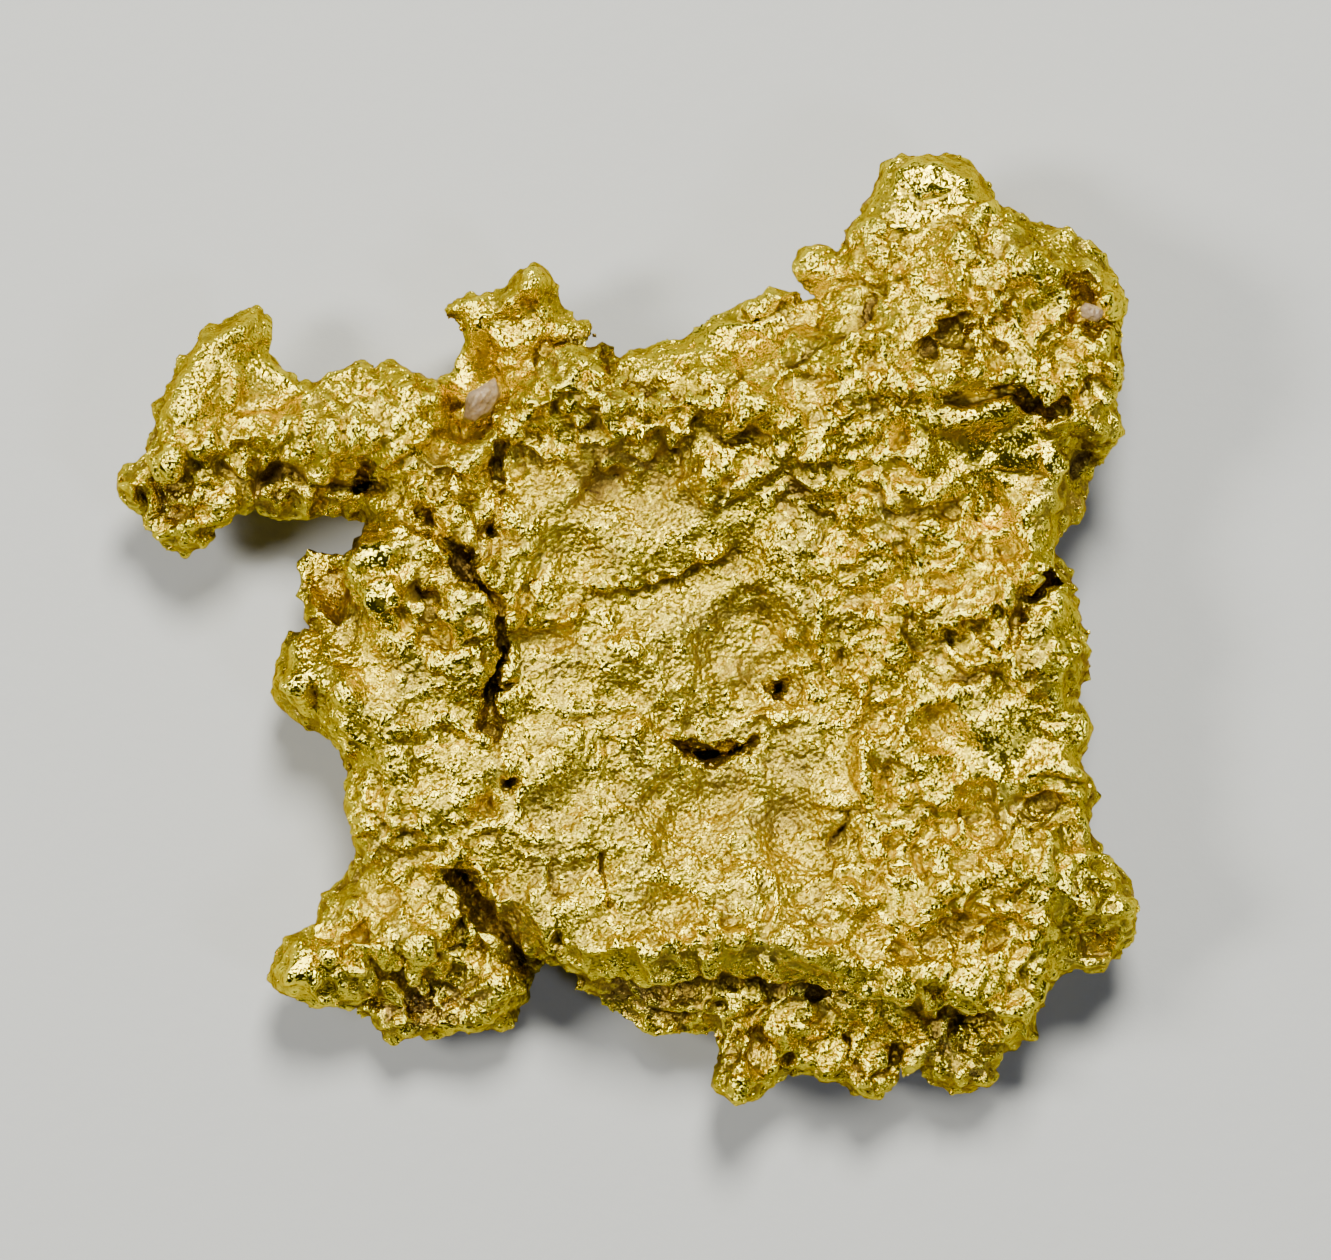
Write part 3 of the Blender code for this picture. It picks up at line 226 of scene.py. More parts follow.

# Narrow crests, with a painted highlight on them: line, height, half width
crests = [
    ([(10.0, 7.76), (10.8, 8.10), (10.5, 8.70)], 0.20, 0.16),
    ([(10.7, 7.40), (11.3, 7.20), (12.1, 7.62), (13.0, 8.04), (14.0, 8.06), (15.2, 7.56), (16.0, 7.50),
      (16.7, 6.98), (17.1, 6.50)], 0.14, 0.16),
    ([(5.7, 19.15), (6.6, 18.95), (7.6, 18.90), (8.6, 19.10)], 0.18, 0.14),
    ([(11.0, 7.70), (11.5, 8.00), (11.3, 8.40)], 0.14, 0.11),
    ([(18.36, 7.76), (18.9, 7.62), (19.4, 7.42), (20.0, 7.50), (20.4, 7.44), (20.9, 7.80)], 0.20, 0.16),
    ([(10.34, 8.80), (10.20, 9.40), (10.12, 9.90), (10.20, 10.40)], 0.20, 0.12),
    ([(5.50, 13.70), (6.00, 13.90), (6.50, 14.40), (6.80, 14.90)], 0.16, 0.12),
    ([(4.30, 8.80), (4.50, 8.20), (4.70, 7.50)], 0.20, 0.13),
    ([(4.80, 8.50), (5.40, 8.20), (6.60, 7.90)], 0.16, 0.14),
    ([(8.50, 8.80), (8.60, 8.20), (8.76, 7.70)], 0.18, 0.13),
    ([(17.2, 13.0), (17.22, 14.6), (17.40, 16.8)], 0.14, 0.10),
    ([(20.9, 17.2), (21.8, 17.6), (22.7, 18.2)], 0.14, 0.10),
    ([(20.8, 17.8), (21.8, 18.1), (22.7, 18.3)], 0.12, 0.09),
    ([(21.0, 18.8), (21.8, 18.45), (22.7, 18.45)], 0.16, 0.11),
    ([(20.6, 15.30), (21.2, 15.28), (21.7, 15.50)], 0.14, 0.09),
    ([(20.7, 15.75), (21.6, 15.90)], 0.12, 0.08),
    ([(20.3, 11.65), (20.8, 11.35), (21.1, 11.20)], 0.16, 0.12),
    ([(20.0, 12.80), (20.2, 13.20), (20.4, 13.70)], 0.16, 0.11),
    ([(19.2, 12.40), (19.6, 12.15), (20.0, 12.05)], 0.16, 0.11),
    ([(11.2, 19.20), (12.4, 19.52), (14.0, 19.32), (15.2, 19.40), (17.0, 19.66), (18.6, 20.0),
      (20.0, 20.2)], 0.14, 0.14),
    ([(17.3, 4.70), (17.6, 4.50), (18.0, 4.52)], 0.16, 0.10),
    ([(18.9, 5.0), (19.4, 4.6), (19.7, 4.2)], 0.12, 0.10),
    ([(11.8, 7.3), (12.2, 7.8), (12.9, 8.1)], 0.12, 0.11),
    ([(13.9, 9.1), (14.3, 9.6), (14.1, 10.0)], 0.14, 0.10),
    ([(14.6, 9.3), (15.0, 9.9), (15.6, 9.7)], 0.12, 0.10),
    ([(17.4, 10.6), (17.9, 11.4), (18.1, 12.2)], 0.16, 0.11),
    ([(18.6, 11.3), (19.4, 11.2), (20.2, 11.4)], 0.14, 0.11),
    ([(12.0, 11.86), (13.0, 11.56), (13.7, 11.36), (14.5, 10.96)], 0.12, 0.10),
    ([(14.8, 14.36), (15.4, 14.30), (15.9, 14.44)], 0.14, 0.10),
    ([(13.2, 13.8), (13.8, 14.3), (14.0, 14.8)], 0.12, 0.09),
    ([(16.2, 9.2), (16.5, 8.6), (17.0, 8.2)], 0.14, 0.10),
    ([(6.1, 18.9), (6.5, 19.3), (6.3, 19.8)], 0.10, 0.10),
    ([(12.0, 17.0), (11.9, 17.6), (12.0, 18.0)], 0.12, 0.08),
    ([(10.0, 15.0), (10.4, 15.6), (10.4, 16.2)], 0.10, 0.09),
    ([(7.2, 16.2), (7.6, 16.6), (8.4, 16.9), (8.9, 16.7)], 0.14, 0.10),
    ([(15.9, 11.2), (16.4, 11.8), (16.3, 12.5)], 0.12, 0.10),
    ([(19.8, 6.10), (19.7, 5.60), (20.0, 5.44), (20.16, 5.80), (20.16, 6.30)], 0.16, 0.11),
    ([(15.2, 6.50), (15.6, 7.00), (16.0, 6.70)], 0.12, 0.11),
    ([(17.2, 8.10), (17.4, 8.80)], 0.13, 0.10),
    ([(17.6, 8.60), (17.8, 9.10)], 0.13, 0.10),
    ([(14.4, 9.00), (15.3, 8.96)], 0.16, 0.12),
    ([(15.4, 9.20), (16.0, 8.90)], 0.14, 0.11),
    ([(14.1, 9.80), (14.3, 10.1), (14.7, 9.80), (15.1, 9.30)], 0.16, 0.12),
    ([(15.8, 9.06), (16.9, 9.10), (18.0, 9.06)], 0.16, 0.14),
    ([(19.3, 7.30), (19.32, 7.70)], 0.11, 0.07),
    ([(19.66, 7.30), (19.7, 7.70)], 0.11, 0.07),
    ([(20.1, 7.30), (20.2, 7.64)], 0.11, 0.07),
    ([(21.5, 5.30), (21.9, 5.60)], 0.15, 0.13),
]

# Ring-shaped wrinkles: place, radius, height, half width
rings = [
    (14.10, 18.50, 0.34, 0.10, 0.08), (7.62, 11.86, 0.26, 0.12, 0.08), (17.56, 21.00, 0.32, 0.14, 0.09),
    (9.20, 12.10, 0.34, 0.08, 0.08), (15.10, 18.70, 0.24, 0.08, 0.07), (18.90, 17.00, 0.30, 0.08, 0.08),
    (20.70, 17.00, 0.28, 0.10, 0.08), (16.30, 20.50, 0.30, 0.10, 0.08), (7.60, 8.40, 0.40, 0.10, 0.09),
]

# Beads and pinholes: place, radius, rise
beads = [
    (7.50, 11.05, 0.40, 0.18), (7.62, 11.86, 0.36, 0.12), (6.60, 8.60, 0.28, 0.12),
    (4.50, 9.05, 0.26, 0.10), (3.30, 9.20, 0.28, 0.10), (6.00, 19.50, 0.40, 0.10),
    (11.10, 7.80, 0.26, 0.10), (2.40, 9.76, 0.20, 0.12), (8.26, 9.35, 0.18, 0.14),
    (8.90, 9.36, 0.20, 0.12), (5.26, 6.50, 0.16, 0.10), (21.66, 14.60, 0.22, 0.14),
    (22.20, 6.10, 0.30, 0.12), (7.70, 19.06, 0.17, 0.12), (8.16, 19.06, 0.16, 0.12),
    (15.60, 14.40, 0.14, 0.10), (15.04, 14.46, 0.13, 0.10), (14.60, 13.90, 0.12, 0.07),
    (4.00, 11.00, 0.24, 0.10), (3.20, 10.70, 0.18, 0.10), (10.76, 5.56, 0.26, 0.10),
    (16.40, 5.30, 0.26, 0.10), (17.30, 21.90, 0.20, 0.10), (19.30, 21.60, 0.24, 0.10),
    (14.70, 21.80, 0.26, 0.10), (9.30, 20.60, 0.18, 0.10), (7.40, 20.40, 0.16, 0.10),
    (10.40, 12.40, 0.24, 0.10), (10.90, 12.60, 0.24, 0.10), (11.40, 12.20, 0.22, 0.10),
    (11.00, 11.95, 0.18, 0.08), (9.00, 9.90, 0.18, 0.08), (8.10, 10.60, 0.16, 0.10),
    (12.90, 18.90, 0.20, 0.08), (18.30, 18.60, 0.22, 0.08), (7.10, 16.50, 0.12, -0.16),
    (14.20, 17.12, 0.08, -0.10), (10.50, 19.66, 0.10, -0.12), (17.70, 4.92, 0.42, 0.26),
    (19.68, 4.90, 0.28, 0.14), (12.40, 9.46, 0.45, 0.14), (20.80, 9.30, 0.40, 0.20),
]

# Fine parallel ridges: place, reach, direction in degrees, spacing, height
striations = [
    (17.0, 6.4, 0.9, -42, 0.24, 0.060), (18.4, 8.9, 0.9, 4, 0.22, 0.050),
    (19.0, 16.3, 1.6, 2, 0.26, 0.050), (6.2, 14.0, 0.8, 28, 0.20, 0.035),
    (12.8, 8.7, 1.2, 84, 0.24, 0.070), (19.4, 10.8, 1.0, -24, 0.28, 0.060),
    (15.6, 11.8, 0.9, 50, 0.24, 0.040), (20.0, 17.6, 1.0, 20, 0.26, 0.055),
    (4.4, 10.0, 1.0, 14, 0.26, 0.060),
]

# Holes that are drawn together: place, reach, share of the way to the middle
narrowed = [
    (7.16, 9.76, 0.38, 0.60), (15.55, 13.76, 0.36, 0.30), (13.66, 14.98, 0.32, 0.50),
    (14.90, 14.94, 0.26, 0.35),
]

curlForm = {
    "seed": 31,
    "legs": 3,
    "leg": (0.10, 0.26),       # mm, shortest and longest
    "turn": 28,                # degrees that the direction varies
    "bend": 0.7,               # radians at each joint
    "share": 0.75,             # of the written height
    "heights": (0.5, 1.2),
    "widths": (0.08, 0.14),    # mm
}


def nodeMesh(name, label):
    # the solid's triangles come loose, so a copy of them is welded
    made = bmesh.new()
    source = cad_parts[name]
    made.from_mesh(source.data)
    made.transform(source.matrix_world)
    bmesh.ops.remove_doubles(made, verts=made.verts, dist=0.002 * mm)
    bmesh.ops.recalc_face_normals(made, faces=made.faces)
    mesh = bpy.data.meshes.new(label)
    made.to_mesh(mesh)
    made.free()
    piece = bpy.data.objects.new(label, mesh)
    bpy.context.scene.collection.objects.link(piece)
    return piece


def bakeModifiers(piece):
    view = bpy.context.evaluated_depsgraph_get()
    baked = bpy.data.meshes.new_from_object(piece.evaluated_get(view))
    piece.modifiers.clear()
    old = piece.data
    baked.name = old.name
    piece.data = baked
    bpy.data.meshes.remove(old)


def readPoints(mesh):
    flat = np.empty(len(mesh.vertices) * 3)
    mesh.vertices.foreach_get("co", flat)
    return flat.reshape(-1, 3) / mm


def readNormals(mesh):
    flat = np.empty(len(mesh.vertices) * 3)
    mesh.vertices.foreach_get("normal", flat)
    return flat.reshape(-1, 3)


def writePoints(mesh, points):
    mesh.vertices.foreach_set("co", (points * mm).ravel())
    mesh.update()


def edgePairs(mesh):
    flat = np.empty(len(mesh.edges) * 2, dtype=np.int64)
    mesh.edges.foreach_get("vertices", flat)
    return flat.reshape(-1, 2)


def evenOut(values, pairs, rounds):
    # mean over neighbours, repeated
    pull, count = 0.65, len(values)
    near = np.bincount(pairs.ravel(), minlength=count).astype(float)
    wide = values.reshape(count, -1)
    for _ in range(rounds):
        total = np.zeros_like(wide)
        for column in range(wide.shape[1]):
            total[:, column] = np.bincount(pairs[:, 0], wide[pairs[:, 1], column], count)
            total[:, column] += np.bincount(pairs[:, 1], wide[pairs[:, 0], column], count)
        wide = (1 - pull) * wide + pull * total / near[:, None]
    return wide.reshape(values.shape)


def addPointValue(mesh, name, values):
    layer = mesh.attributes.new(name, "FLOAT", "POINT")
    layer.data.foreach_set("value", np.clip(values, 0, 1).astype(np.float32))


def wrinkleField(points, size, seed):
    # rounded lumps with creases between them, and a few narrow crests; the sample points are pushed
    # about before the noise is folded, so that the creases curl
    bent = points + 0.50 * size * fieldVector(points, size * 1.2, seed)
    lumps = 2.6 * np.abs(fieldNoise(bent, size, seed + 4.0)) - 0.6
    folds = 1 - 2.4 * np.abs(fieldNoise(bent, size * 0.8, seed + 6.0))
    finer = 2.4 * np.abs(fieldNoise(bent, size * 0.46, seed + 9.0)) - 0.6
    height = 0.60 * lumps + 0.26 * folds + 0.36 * finer
    return np.where(height < 0, 0.55 * height, height)


def curledWrinkles():
    # short arcs, each with its own length, bend and height
    chance = np.random.default_rng(curlForm["seed"])
    made = []
    for x, y, reachX, reachY, turn, count, rise in curlPatches:
        for _ in range(count):
            place = np.array([x, y]) + chance.uniform(-1, 1, 2) * (reachX, reachY)
            heading = math.radians(turn + chance.normal(0, curlForm["turn"]))
            bend = chance.normal(0, curlForm["bend"])
            leg = chance.uniform(*curlForm["leg"])
            line = [place]
            for _ in range(curlForm["legs"]):
                heading += bend
                line.append(line[-1] + leg * np.array([math.cos(heading), math.sin(heading)]))
            height = curlForm["share"] * rise * chance.uniform(*curlForm["heights"])
            made.append((line, height, chance.uniform(*curlForm["widths"])))
    return made


def drawnRelief(sheet):
    # the height of all that is drawn, with the painted shade in its creases and the painted highlight on
    # its crests;
    # a finer sway and a changing strength keep the lines from looking ruled
    sheet = sheet + 0.10 * fieldVector(np.column_stack([sheet, np.zeros(len(sheet))]), 0.32, 14.0)[:, :2]
    uneven = np.clip(0.95 + 1.0 * fieldNoise(sheet, 0.6, 27.0), 0.35, 1.5)
    height, creaseShade, crestHighlight = np.zeros(len(sheet)), np.zeros(len(sheet)), np.zeros(len(sheet))
    for line, depth, width in creases:
        away = distanceToLine(sheet, line) / width
        height -= depth * np.exp(-(away**2))
        # painted shade along each crease
        creaseShade = np.maximum(creaseShade, min(1.0, depth / 0.18) * np.exp(-((away / 0.75) ** 2)))
    # crests, curled wrinkles, rings and raised beads carry a painted highlight
    for line, rise, width in crests:
        profile = np.clip(1 - distanceToLine(sheet, line) / (1.6 * width), 0, 1) ** 1.2
        height += rise * profile
        crestHighlight = np.maximum(crestHighlight, profile)
    for line, rise, width in curledWrinkles():
        close = np.abs(sheet - line[1]).max(1) < 1.2
        away = distanceToLine(sheet[close], line) / width
        ridge = np.exp(-(away**2))
        height[close] += rise * (ridge - 0.45 * np.exp(-((away - 2.0) ** 2)))
        crestHighlight[close] = np.maximum(crestHighlight[close], 0.5 * ridge)
    for x, y, radius, rise, width in rings:
        away = np.abs(np.hypot(sheet[:, 0] - x, sheet[:, 1] - y) - radius) / width
        height += rise * np.exp(-(away**2))
        crestHighlight = np.maximum(crestHighlight, 0.7 * np.exp(-(away**2)))
    for x, y, radius, rise in beads:
        inside = np.clip(1 - (np.hypot(sheet[:, 0] - x, sheet[:, 1] - y) / radius) ** 2, 0, 1)
        height += rise * np.sqrt(inside)
        if rise > 0:
            crestHighlight = np.maximum(crestHighlight, 0.7 * inside)
    for x, y, reach, turn, spacing, rise in striations:
        cosine, sine = math.cos(math.radians(turn)), math.sin(math.radians(turn))
        dx, dy = sheet[:, 0] - x, sheet[:, 1] - y
        along, across = dx * cosine + dy * sine, dy * cosine - dx * sine
        grooves = 1 - 2.4 * np.abs(fieldNoise(np.column_stack([along / 4.0, across]), spacing, 6.0 + x))
        height += rise * grooves * np.exp(-(dx**2 + dy**2) / reach**2)
    return height * uneven, creaseShade * np.clip(uneven, 0.4, 1.0), crestHighlight * np.clip(uneven, 0.3, 1.0)


def makeGold():
    piece = nodeMesh("gold_nugget", "gold_skin")
    remesh = piece.modifiers.new("fine skin", "REMESH")
    remesh.mode = "VOXEL"
    remesh.voxel_size = goldForm["voxel"] * mm
    remesh.use_smooth_shade = True
    bakeModifiers(piece)
    mesh = piece.data
    points, normals, pairs = readPoints(mesh), readNormals(mesh), edgePairs(mesh)
    print("gold skin:", len(points), "points")

    sheet = toSheet(points)
    facing = np.clip((normals[:, 2] - 0.05) / 0.45, 0, 1)    # 1 on the face, 0 on the sides and back
    upper = np.clip((normals[:, 2] + 0.1) / 0.2, 0, 1)       # 1 on the steep sides too
    smooth = np.clip(spots(sheet, smoothSpots), 0, 1)
    grain = np.clip(spots(sheet, grainSpots), 0, 1) * facing
    crumple = blendMap(sheet, crumpleMap, goldForm["farCrumple"])
    crumple = facing * crumple + (1 - facing) * goldForm["sideCrumple"]
    crumple *= 1 - goldForm["calming"] * smooth

    height = goldForm["crumpleHeight"] * crumple * wrinkleField(points, goldForm["wrinkleSize"], 3.0)
    height += goldForm["fineHeight"] * crumple * (1 - 0.6 * grain) * fieldNoise(points, 0.24, 31.0)
    height += goldForm["swell"] * facing * (1 - 0.5 * smooth) * fieldNoise(points, 1.1, 52.0)
    drawn, creaseShade, crestHighlight = drawnRelief(sheet)
    height += facing * goldForm["drawnShare"] * drawn
    height += goldForm["grainHeight"] * (1 + 2 * grain) * (1 - smooth) * fieldNoise(points, 0.13, 40.0)
    height += goldForm["smoothHeight"] * smooth * fieldNoise(points, 0.8, 44.0)
    back = np.clip(-normals[:, 2] * 1.6, 0, 1)
    height += back * goldForm["backHeight"] * wrinkleField(points, 0.9, 60.0)

    top = points[:, 2].max() + goldForm["topRoom"]
    points = evenOut(points + normals * height[:, None], pairs, goldForm["softening"])
    points[:, 2] = np.clip(points[:, 2], 0.0, top)
    rim = 1 - np.abs(normals[:, 2])
    jag = fieldVector(points, 0.5, 71.0)[:, :2] + 0.5 * fieldVector(points, 0.22, 75.0)[:, :2]
    points[:, :2] += goldForm["edgeRoughness"] * rim[:, None] * jag
    for x, y, reach, share in narrowed:
        away = np.array([x - sheetCentre[0], sheetCentre[1] - y]) - points[:, :2]
        points[:, :2] += share * away * np.exp(-((away**2).sum(1) / reach**2) ** 2)[:, None]
    writePoints(mesh, points)

    # crests and hollows, from how far each point stands out of its surroundings
    normals = readNormals(mesh)
    near = ((points - evenOut(points, pairs, 5)) * normals).sum(1)
    wide = ((points - evenOut(points, pairs, 40)) * normals).sum(1)
    addPointValue(mesh, "crest", 0.5 + near / (3 * near.std()))
    addPointValue(mesh, "hollow", -wide / (2.4 * wide.std()))
    addPointValue(mesh, "smoothness", smooth)
    addPointValue(mesh, "grain", grain)
    # painted shade on the steep sides, the underside and darker places
    addPointValue(mesh, "side", np.maximum(1 - facing, spots(sheet, paintedShadeSpots)))
    # stains, partly painted shade
    addPointValue(mesh, "stainAndShade", spots(sheet, stainAndShadeSpots))
    # painted glow in hollows
    addPointValue(mesh, "paintedGlow", spots(sheet, paintedGlowSpots))
    # painted shade in the creases and specks
    addPointValue(mesh, "creaseShade", upper * (creaseShade + spots(sheet, paintedShadeSpecks)))
    # painted highlight on the crests
    addPointValue(mesh, "crestHighlight", upper * crestHighlight)
    thin = piece.modifiers.new("keep what shows", "DECIMATE")
    mesh.calc_loop_triangles()
    thin.ratio = min(1.0, goldForm["faces"] / len(mesh.loop_triangles))
    bakeModifiers(piece)
    print("gold relief done:", len(piece.data.polygons), "triangles")
    return piece


# Painted orange glow of light bounced in hollows: place, reach across and down, strength
paintedGlowSpots = [
    (17.70, 4.92, 0.50, 0.42, 1.0), (20.60, 8.80, 0.60, 0.40, 0.9), (20.00, 10.05, 0.50, 0.45, 1.0),
    (19.20, 9.50, 0.90, 0.30, 0.5), (19.00, 3.95, 0.50, 0.30, 0.4), (9.10, 8.60, 0.40, 0.70, 0.6),
    (6.30, 11.60, 0.40, 0.50, 0.7), (7.20, 9.30, 0.50, 0.30, 0.7), (6.80, 18.00, 0.90, 0.30, 0.6),
    (10.10, 18.30, 0.40, 0.60, 0.6), (13.20, 20.00, 1.60, 0.30, 0.5), (15.20, 6.60, 0.60, 0.25, 0.5),
]

# Painted shade on darker places: place, reach across and down, strength
paintedShadeSpots = [
    (9.9, 12.8, 0.45, 1.5, 0.8), (9.3, 11.2, 0.5, 0.5, 0.7), (16.0, 9.7, 0.6, 0.35, 0.9),
    (20.2, 8.0, 0.9, 0.3, 0.8), (21.6, 9.6, 0.6, 0.7, 0.9), (6.7, 12.2, 0.35, 0.8, 0.7),
    (5.8, 14.4, 0.5, 0.5, 0.9), (3.4, 9.9, 0.8, 0.5, 0.8), (5.4, 9.9, 1.3, 0.5, 0.9),
    (10.1, 18.6, 0.5, 0.9, 0.9), (8.2, 20.2, 2.2, 0.7, 1.0), (12.6, 20.0, 1.6, 0.6, 0.9),
    (16.4, 19.9, 0.9, 0.35, 0.8), (14.8, 20.9, 1.2, 0.5, 0.5), (18.6, 20.7, 0.8, 0.5, 0.9),
    (17.4, 21.9, 1.2, 0.5, 0.8), (19.6, 21.6, 0.8, 0.6, 0.9), (21.9, 19.2, 0.8, 0.6, 0.8),
    (12.9, 9.3, 0.9, 0.4, 0.6), (14.4, 14.9, 0.5, 0.5, 0.5), (11.9, 7.6, 0.5, 0.4, 0.6),
    (20.8, 4.4, 1.0, 0.3, 0.7), (22.4, 7.2, 0.3, 1.2, 0.7), (21.9, 15.8, 0.3, 0.8, 0.7),
]

# Painted shade in pinholes, creases and under ridges, as dark specks: place, reach across and down,
# strength
paintedShadeSpecks = [
    (15.40, 12.20, 0.12, 0.10, 1.5), (11.20, 11.10, 0.12, 0.07, 0.9), (8.35, 11.96, 0.06, 0.30, 1.0),
    (14.20, 17.12, 0.07, 0.06, 1.2), (11.70, 9.00, 0.06, 0.06, 1.0), (11.50, 9.30, 0.05, 0.05, 0.9),
    (16.05, 9.62, 0.40, 0.16, 0.7), (20.30, 7.98, 0.50, 0.12, 0.7), (9.95, 13.10, 0.12, 0.70, 0.7),
    (9.40, 11.40, 0.25, 0.25, 0.6),
]

# Reddish brown and grey stains, partly painted shade under the ridge and in pits: place, reach across and
# down, strength
stainAndShadeSpots = [
    (12.3, 9.6, 1.3, 0.45, 0.9), (12.9, 9.0, 0.9, 0.30, 1.0), (11.4, 9.6, 1.2, 0.80, 0.5),
    (14.9, 13.4, 0.6, 0.35, 0.9), (8.32, 11.96, 0.16, 0.4, 0.9), (14.5, 8.62, 0.8, 0.16, 0.6),
    (5.8, 9.5, 1.8, 0.4, 0.55), (21.5, 9.5, 0.5, 0.7, 0.7), (9.0, 9.0, 0.5, 0.6, 0.25),
    (10.1, 15.5, 0.3, 0.3, 0.7), (9.8, 16.0, 0.25, 0.3, 0.7), (7.6, 18.0, 0.6, 0.3, 0.6),
    (8.4, 19.5, 0.6, 0.35, 0.5), (15.4, 12.2, 0.16, 0.15, 0.9), (11.2, 11.1, 0.16, 0.12, 0.8),
    (16.9, 16.6, 0.25, 0.35, 0.5), (10.2, 18.6, 0.4, 0.5, 0.5), (13.5, 19.9, 0.7, 0.25, 0.5),
    (21.8, 19.1, 0.4, 0.3, 0.6), (10.3, 17.6, 0.4, 0.5, 0.3), (15.6, 16.0, 1.4, 1.0, 0.25),
    (17.6, 5.0, 0.4, 0.35, 0.35), (11.0, 12.9, 0.7, 0.2, 0.4),
]


# Materials

class Wire:
    # a socket that takes part in sums
    def __init__(self, look, socket):
        self.look = look
        self.socket = socket

    def maths(self, operation, first, second=None):
        return self.look.node("ShaderNodeMath", {"operation": operation}, {0: first, 1: second})

    def __add__(self, other):
        return self.maths("ADD", self, other)

    def __radd__(self, other):
        return self.maths("ADD", other, self)

    def __sub__(self, other):
        return self.maths("SUBTRACT", self, other)

    def __rsub__(self, other):
        return self.maths("SUBTRACT", other, self)

    def __mul__(self, other):
        return self.maths("MULTIPLY", self, other)

    def __rmul__(self, other):
        return self.maths("MULTIPLY", other, self)

    def clamp(self):
        return self.look.node("ShaderNodeClamp", {}, {0: self})

    def absolute(self):
        return self.maths("ABSOLUTE", self)


class Look:
    # one material and the nodes in it
    def __init__(self, name):
        self.material = bpy.data.materials.new(name)
        self.material.use_nodes = True
        self.tree = self.material.node_tree
        self.shader = self.tree.nodes["Principled BSDF"]

    def node(self, kind, settings, values, output=0):
        made = self.tree.nodes.new(kind)
        for key, value in settings.items():
            setattr(made, key, value)
        for key, value in values.items():
            if value is not None:
                self.put(made.inputs[key], value)
        return Wire(self, made.outputs[output])

    def put(self, socket, value):
        if isinstance(value, Wire):
            self.tree.links.new(value.socket, socket)
        else:
            socket.default_value = value

    def place(self):
        # object coordinates in millimetres
        spot = self.node("ShaderNodeTexCoord", {}, {}, "Object")
        return self.node("ShaderNodeVectorMath", {"operation": "SCALE"}, {0: spot, "Scale": 1.0 / mm})

    def noiseAt(self, spot, scale, detail, rough, distortion=0.0):
        values = {"Vector": spot, "Scale": scale, "Detail": detail}
        values.update({"Roughness": rough, "Distortion": distortion})
        return self.node("ShaderNodeTexNoise", {}, values)

    def cellsAt(self, spot, scale, output="Distance"):
        return self.node("ShaderNodeTexVoronoi", {}, {"Vector": spot, "Scale": scale}, output)

    def stored(self, name):
        return self.node("ShaderNodeAttribute", {"attribute_name": name}, {}, "Fac")

    def between(self, factor, first, second):
        return self.node("ShaderNodeMix", {"data_type": "RGBA"}, {0: factor, 6: first, 7: second}, 2)

    def spread(self, value, low, high):
        # 0 below low, 1 above high
        settings = {"interpolation_type": "SMOOTHSTEP"}
        return self.node("ShaderNodeMapRange", settings, {0: value, 1: low, 2: high})

    def bump(self, height, distance, normal=None):
        values = {"Strength": 1.0, "Distance": distance, "Height": height, "Normal": normal}
        return self.node("ShaderNodeBump", {}, values)

    def tilt(self, normal, spot, scale, amount):
        # leans the normal another way in every cell
        cell = self.cellsAt(spot, scale, "Color")
        away = self.node("ShaderNodeVectorMath", {"operation": "SUBTRACT"}, {0: cell, 1: (0.5, 0.5, 0.5)})
        away = self.node("ShaderNodeVectorMath", {"operation": "SCALE"}, {0: away, "Scale": amount})
        total = self.node("ShaderNodeVectorMath", {"operation": "ADD"}, {0: normal, 1: away})
        return self.node("ShaderNodeVectorMath", {"operation": "NORMALIZE"}, {0: total})

    def finish(self, **values):
        for key, value in values.items():
            self.put(self.shader.inputs[key.replace("_", " ")], value)
        return self.material


goldLook = {
    "bright": (1.00, 0.85, 0.07, 1.0),       # painted highlight on crests and smooth faces
    "mid": (0.60, 0.46, 0.016, 1.0),
    "pale": (0.66, 0.515, 0.024, 1.0),
    "hollowShade": (0.42, 0.305, 0.028, 1.0),       # painted warm shade in hollows
    "tan": (0.40, 0.295, 0.032, 1.0),        # matte ground
    "paintedGlow": (0.52, 0.36, 0.008, 1.0),       # painted glow of light bounced in hollows
    "creaseShade": (0.085, 0.052, 0.012, 1.0),       # painted shade in creases and specks
    "olive": (0.29, 0.215, 0.046, 1.0),      # duller patches
    # dirt, and painted shade in deep hollows
    "dirtAndShade": (0.055, 0.026, 0.009, 1.0),
    "shadow": (0.21, 0.135, 0.038, 1.0),     # painted shade on steep sides, darker places and the underside
    "edge": (0.52, 0.36, 0.13, 1.0),         # colour seen at a glancing angle
    "edgeLevel": 0.1,
    # reddish brown stains, partly painted shade
    "stainAndShade": (0.22, 0.138, 0.032, 1.0),
    "roughCrest": 0.11,
    "roughGround": 0.26,
    "roughDirt": 0.70,
    "glitter": 0.37,                         # tilt of the tiny facets
    "bumpCoarse": 0.0528,                    # mm
    "bumpFine": 0.027,                       # mm
}


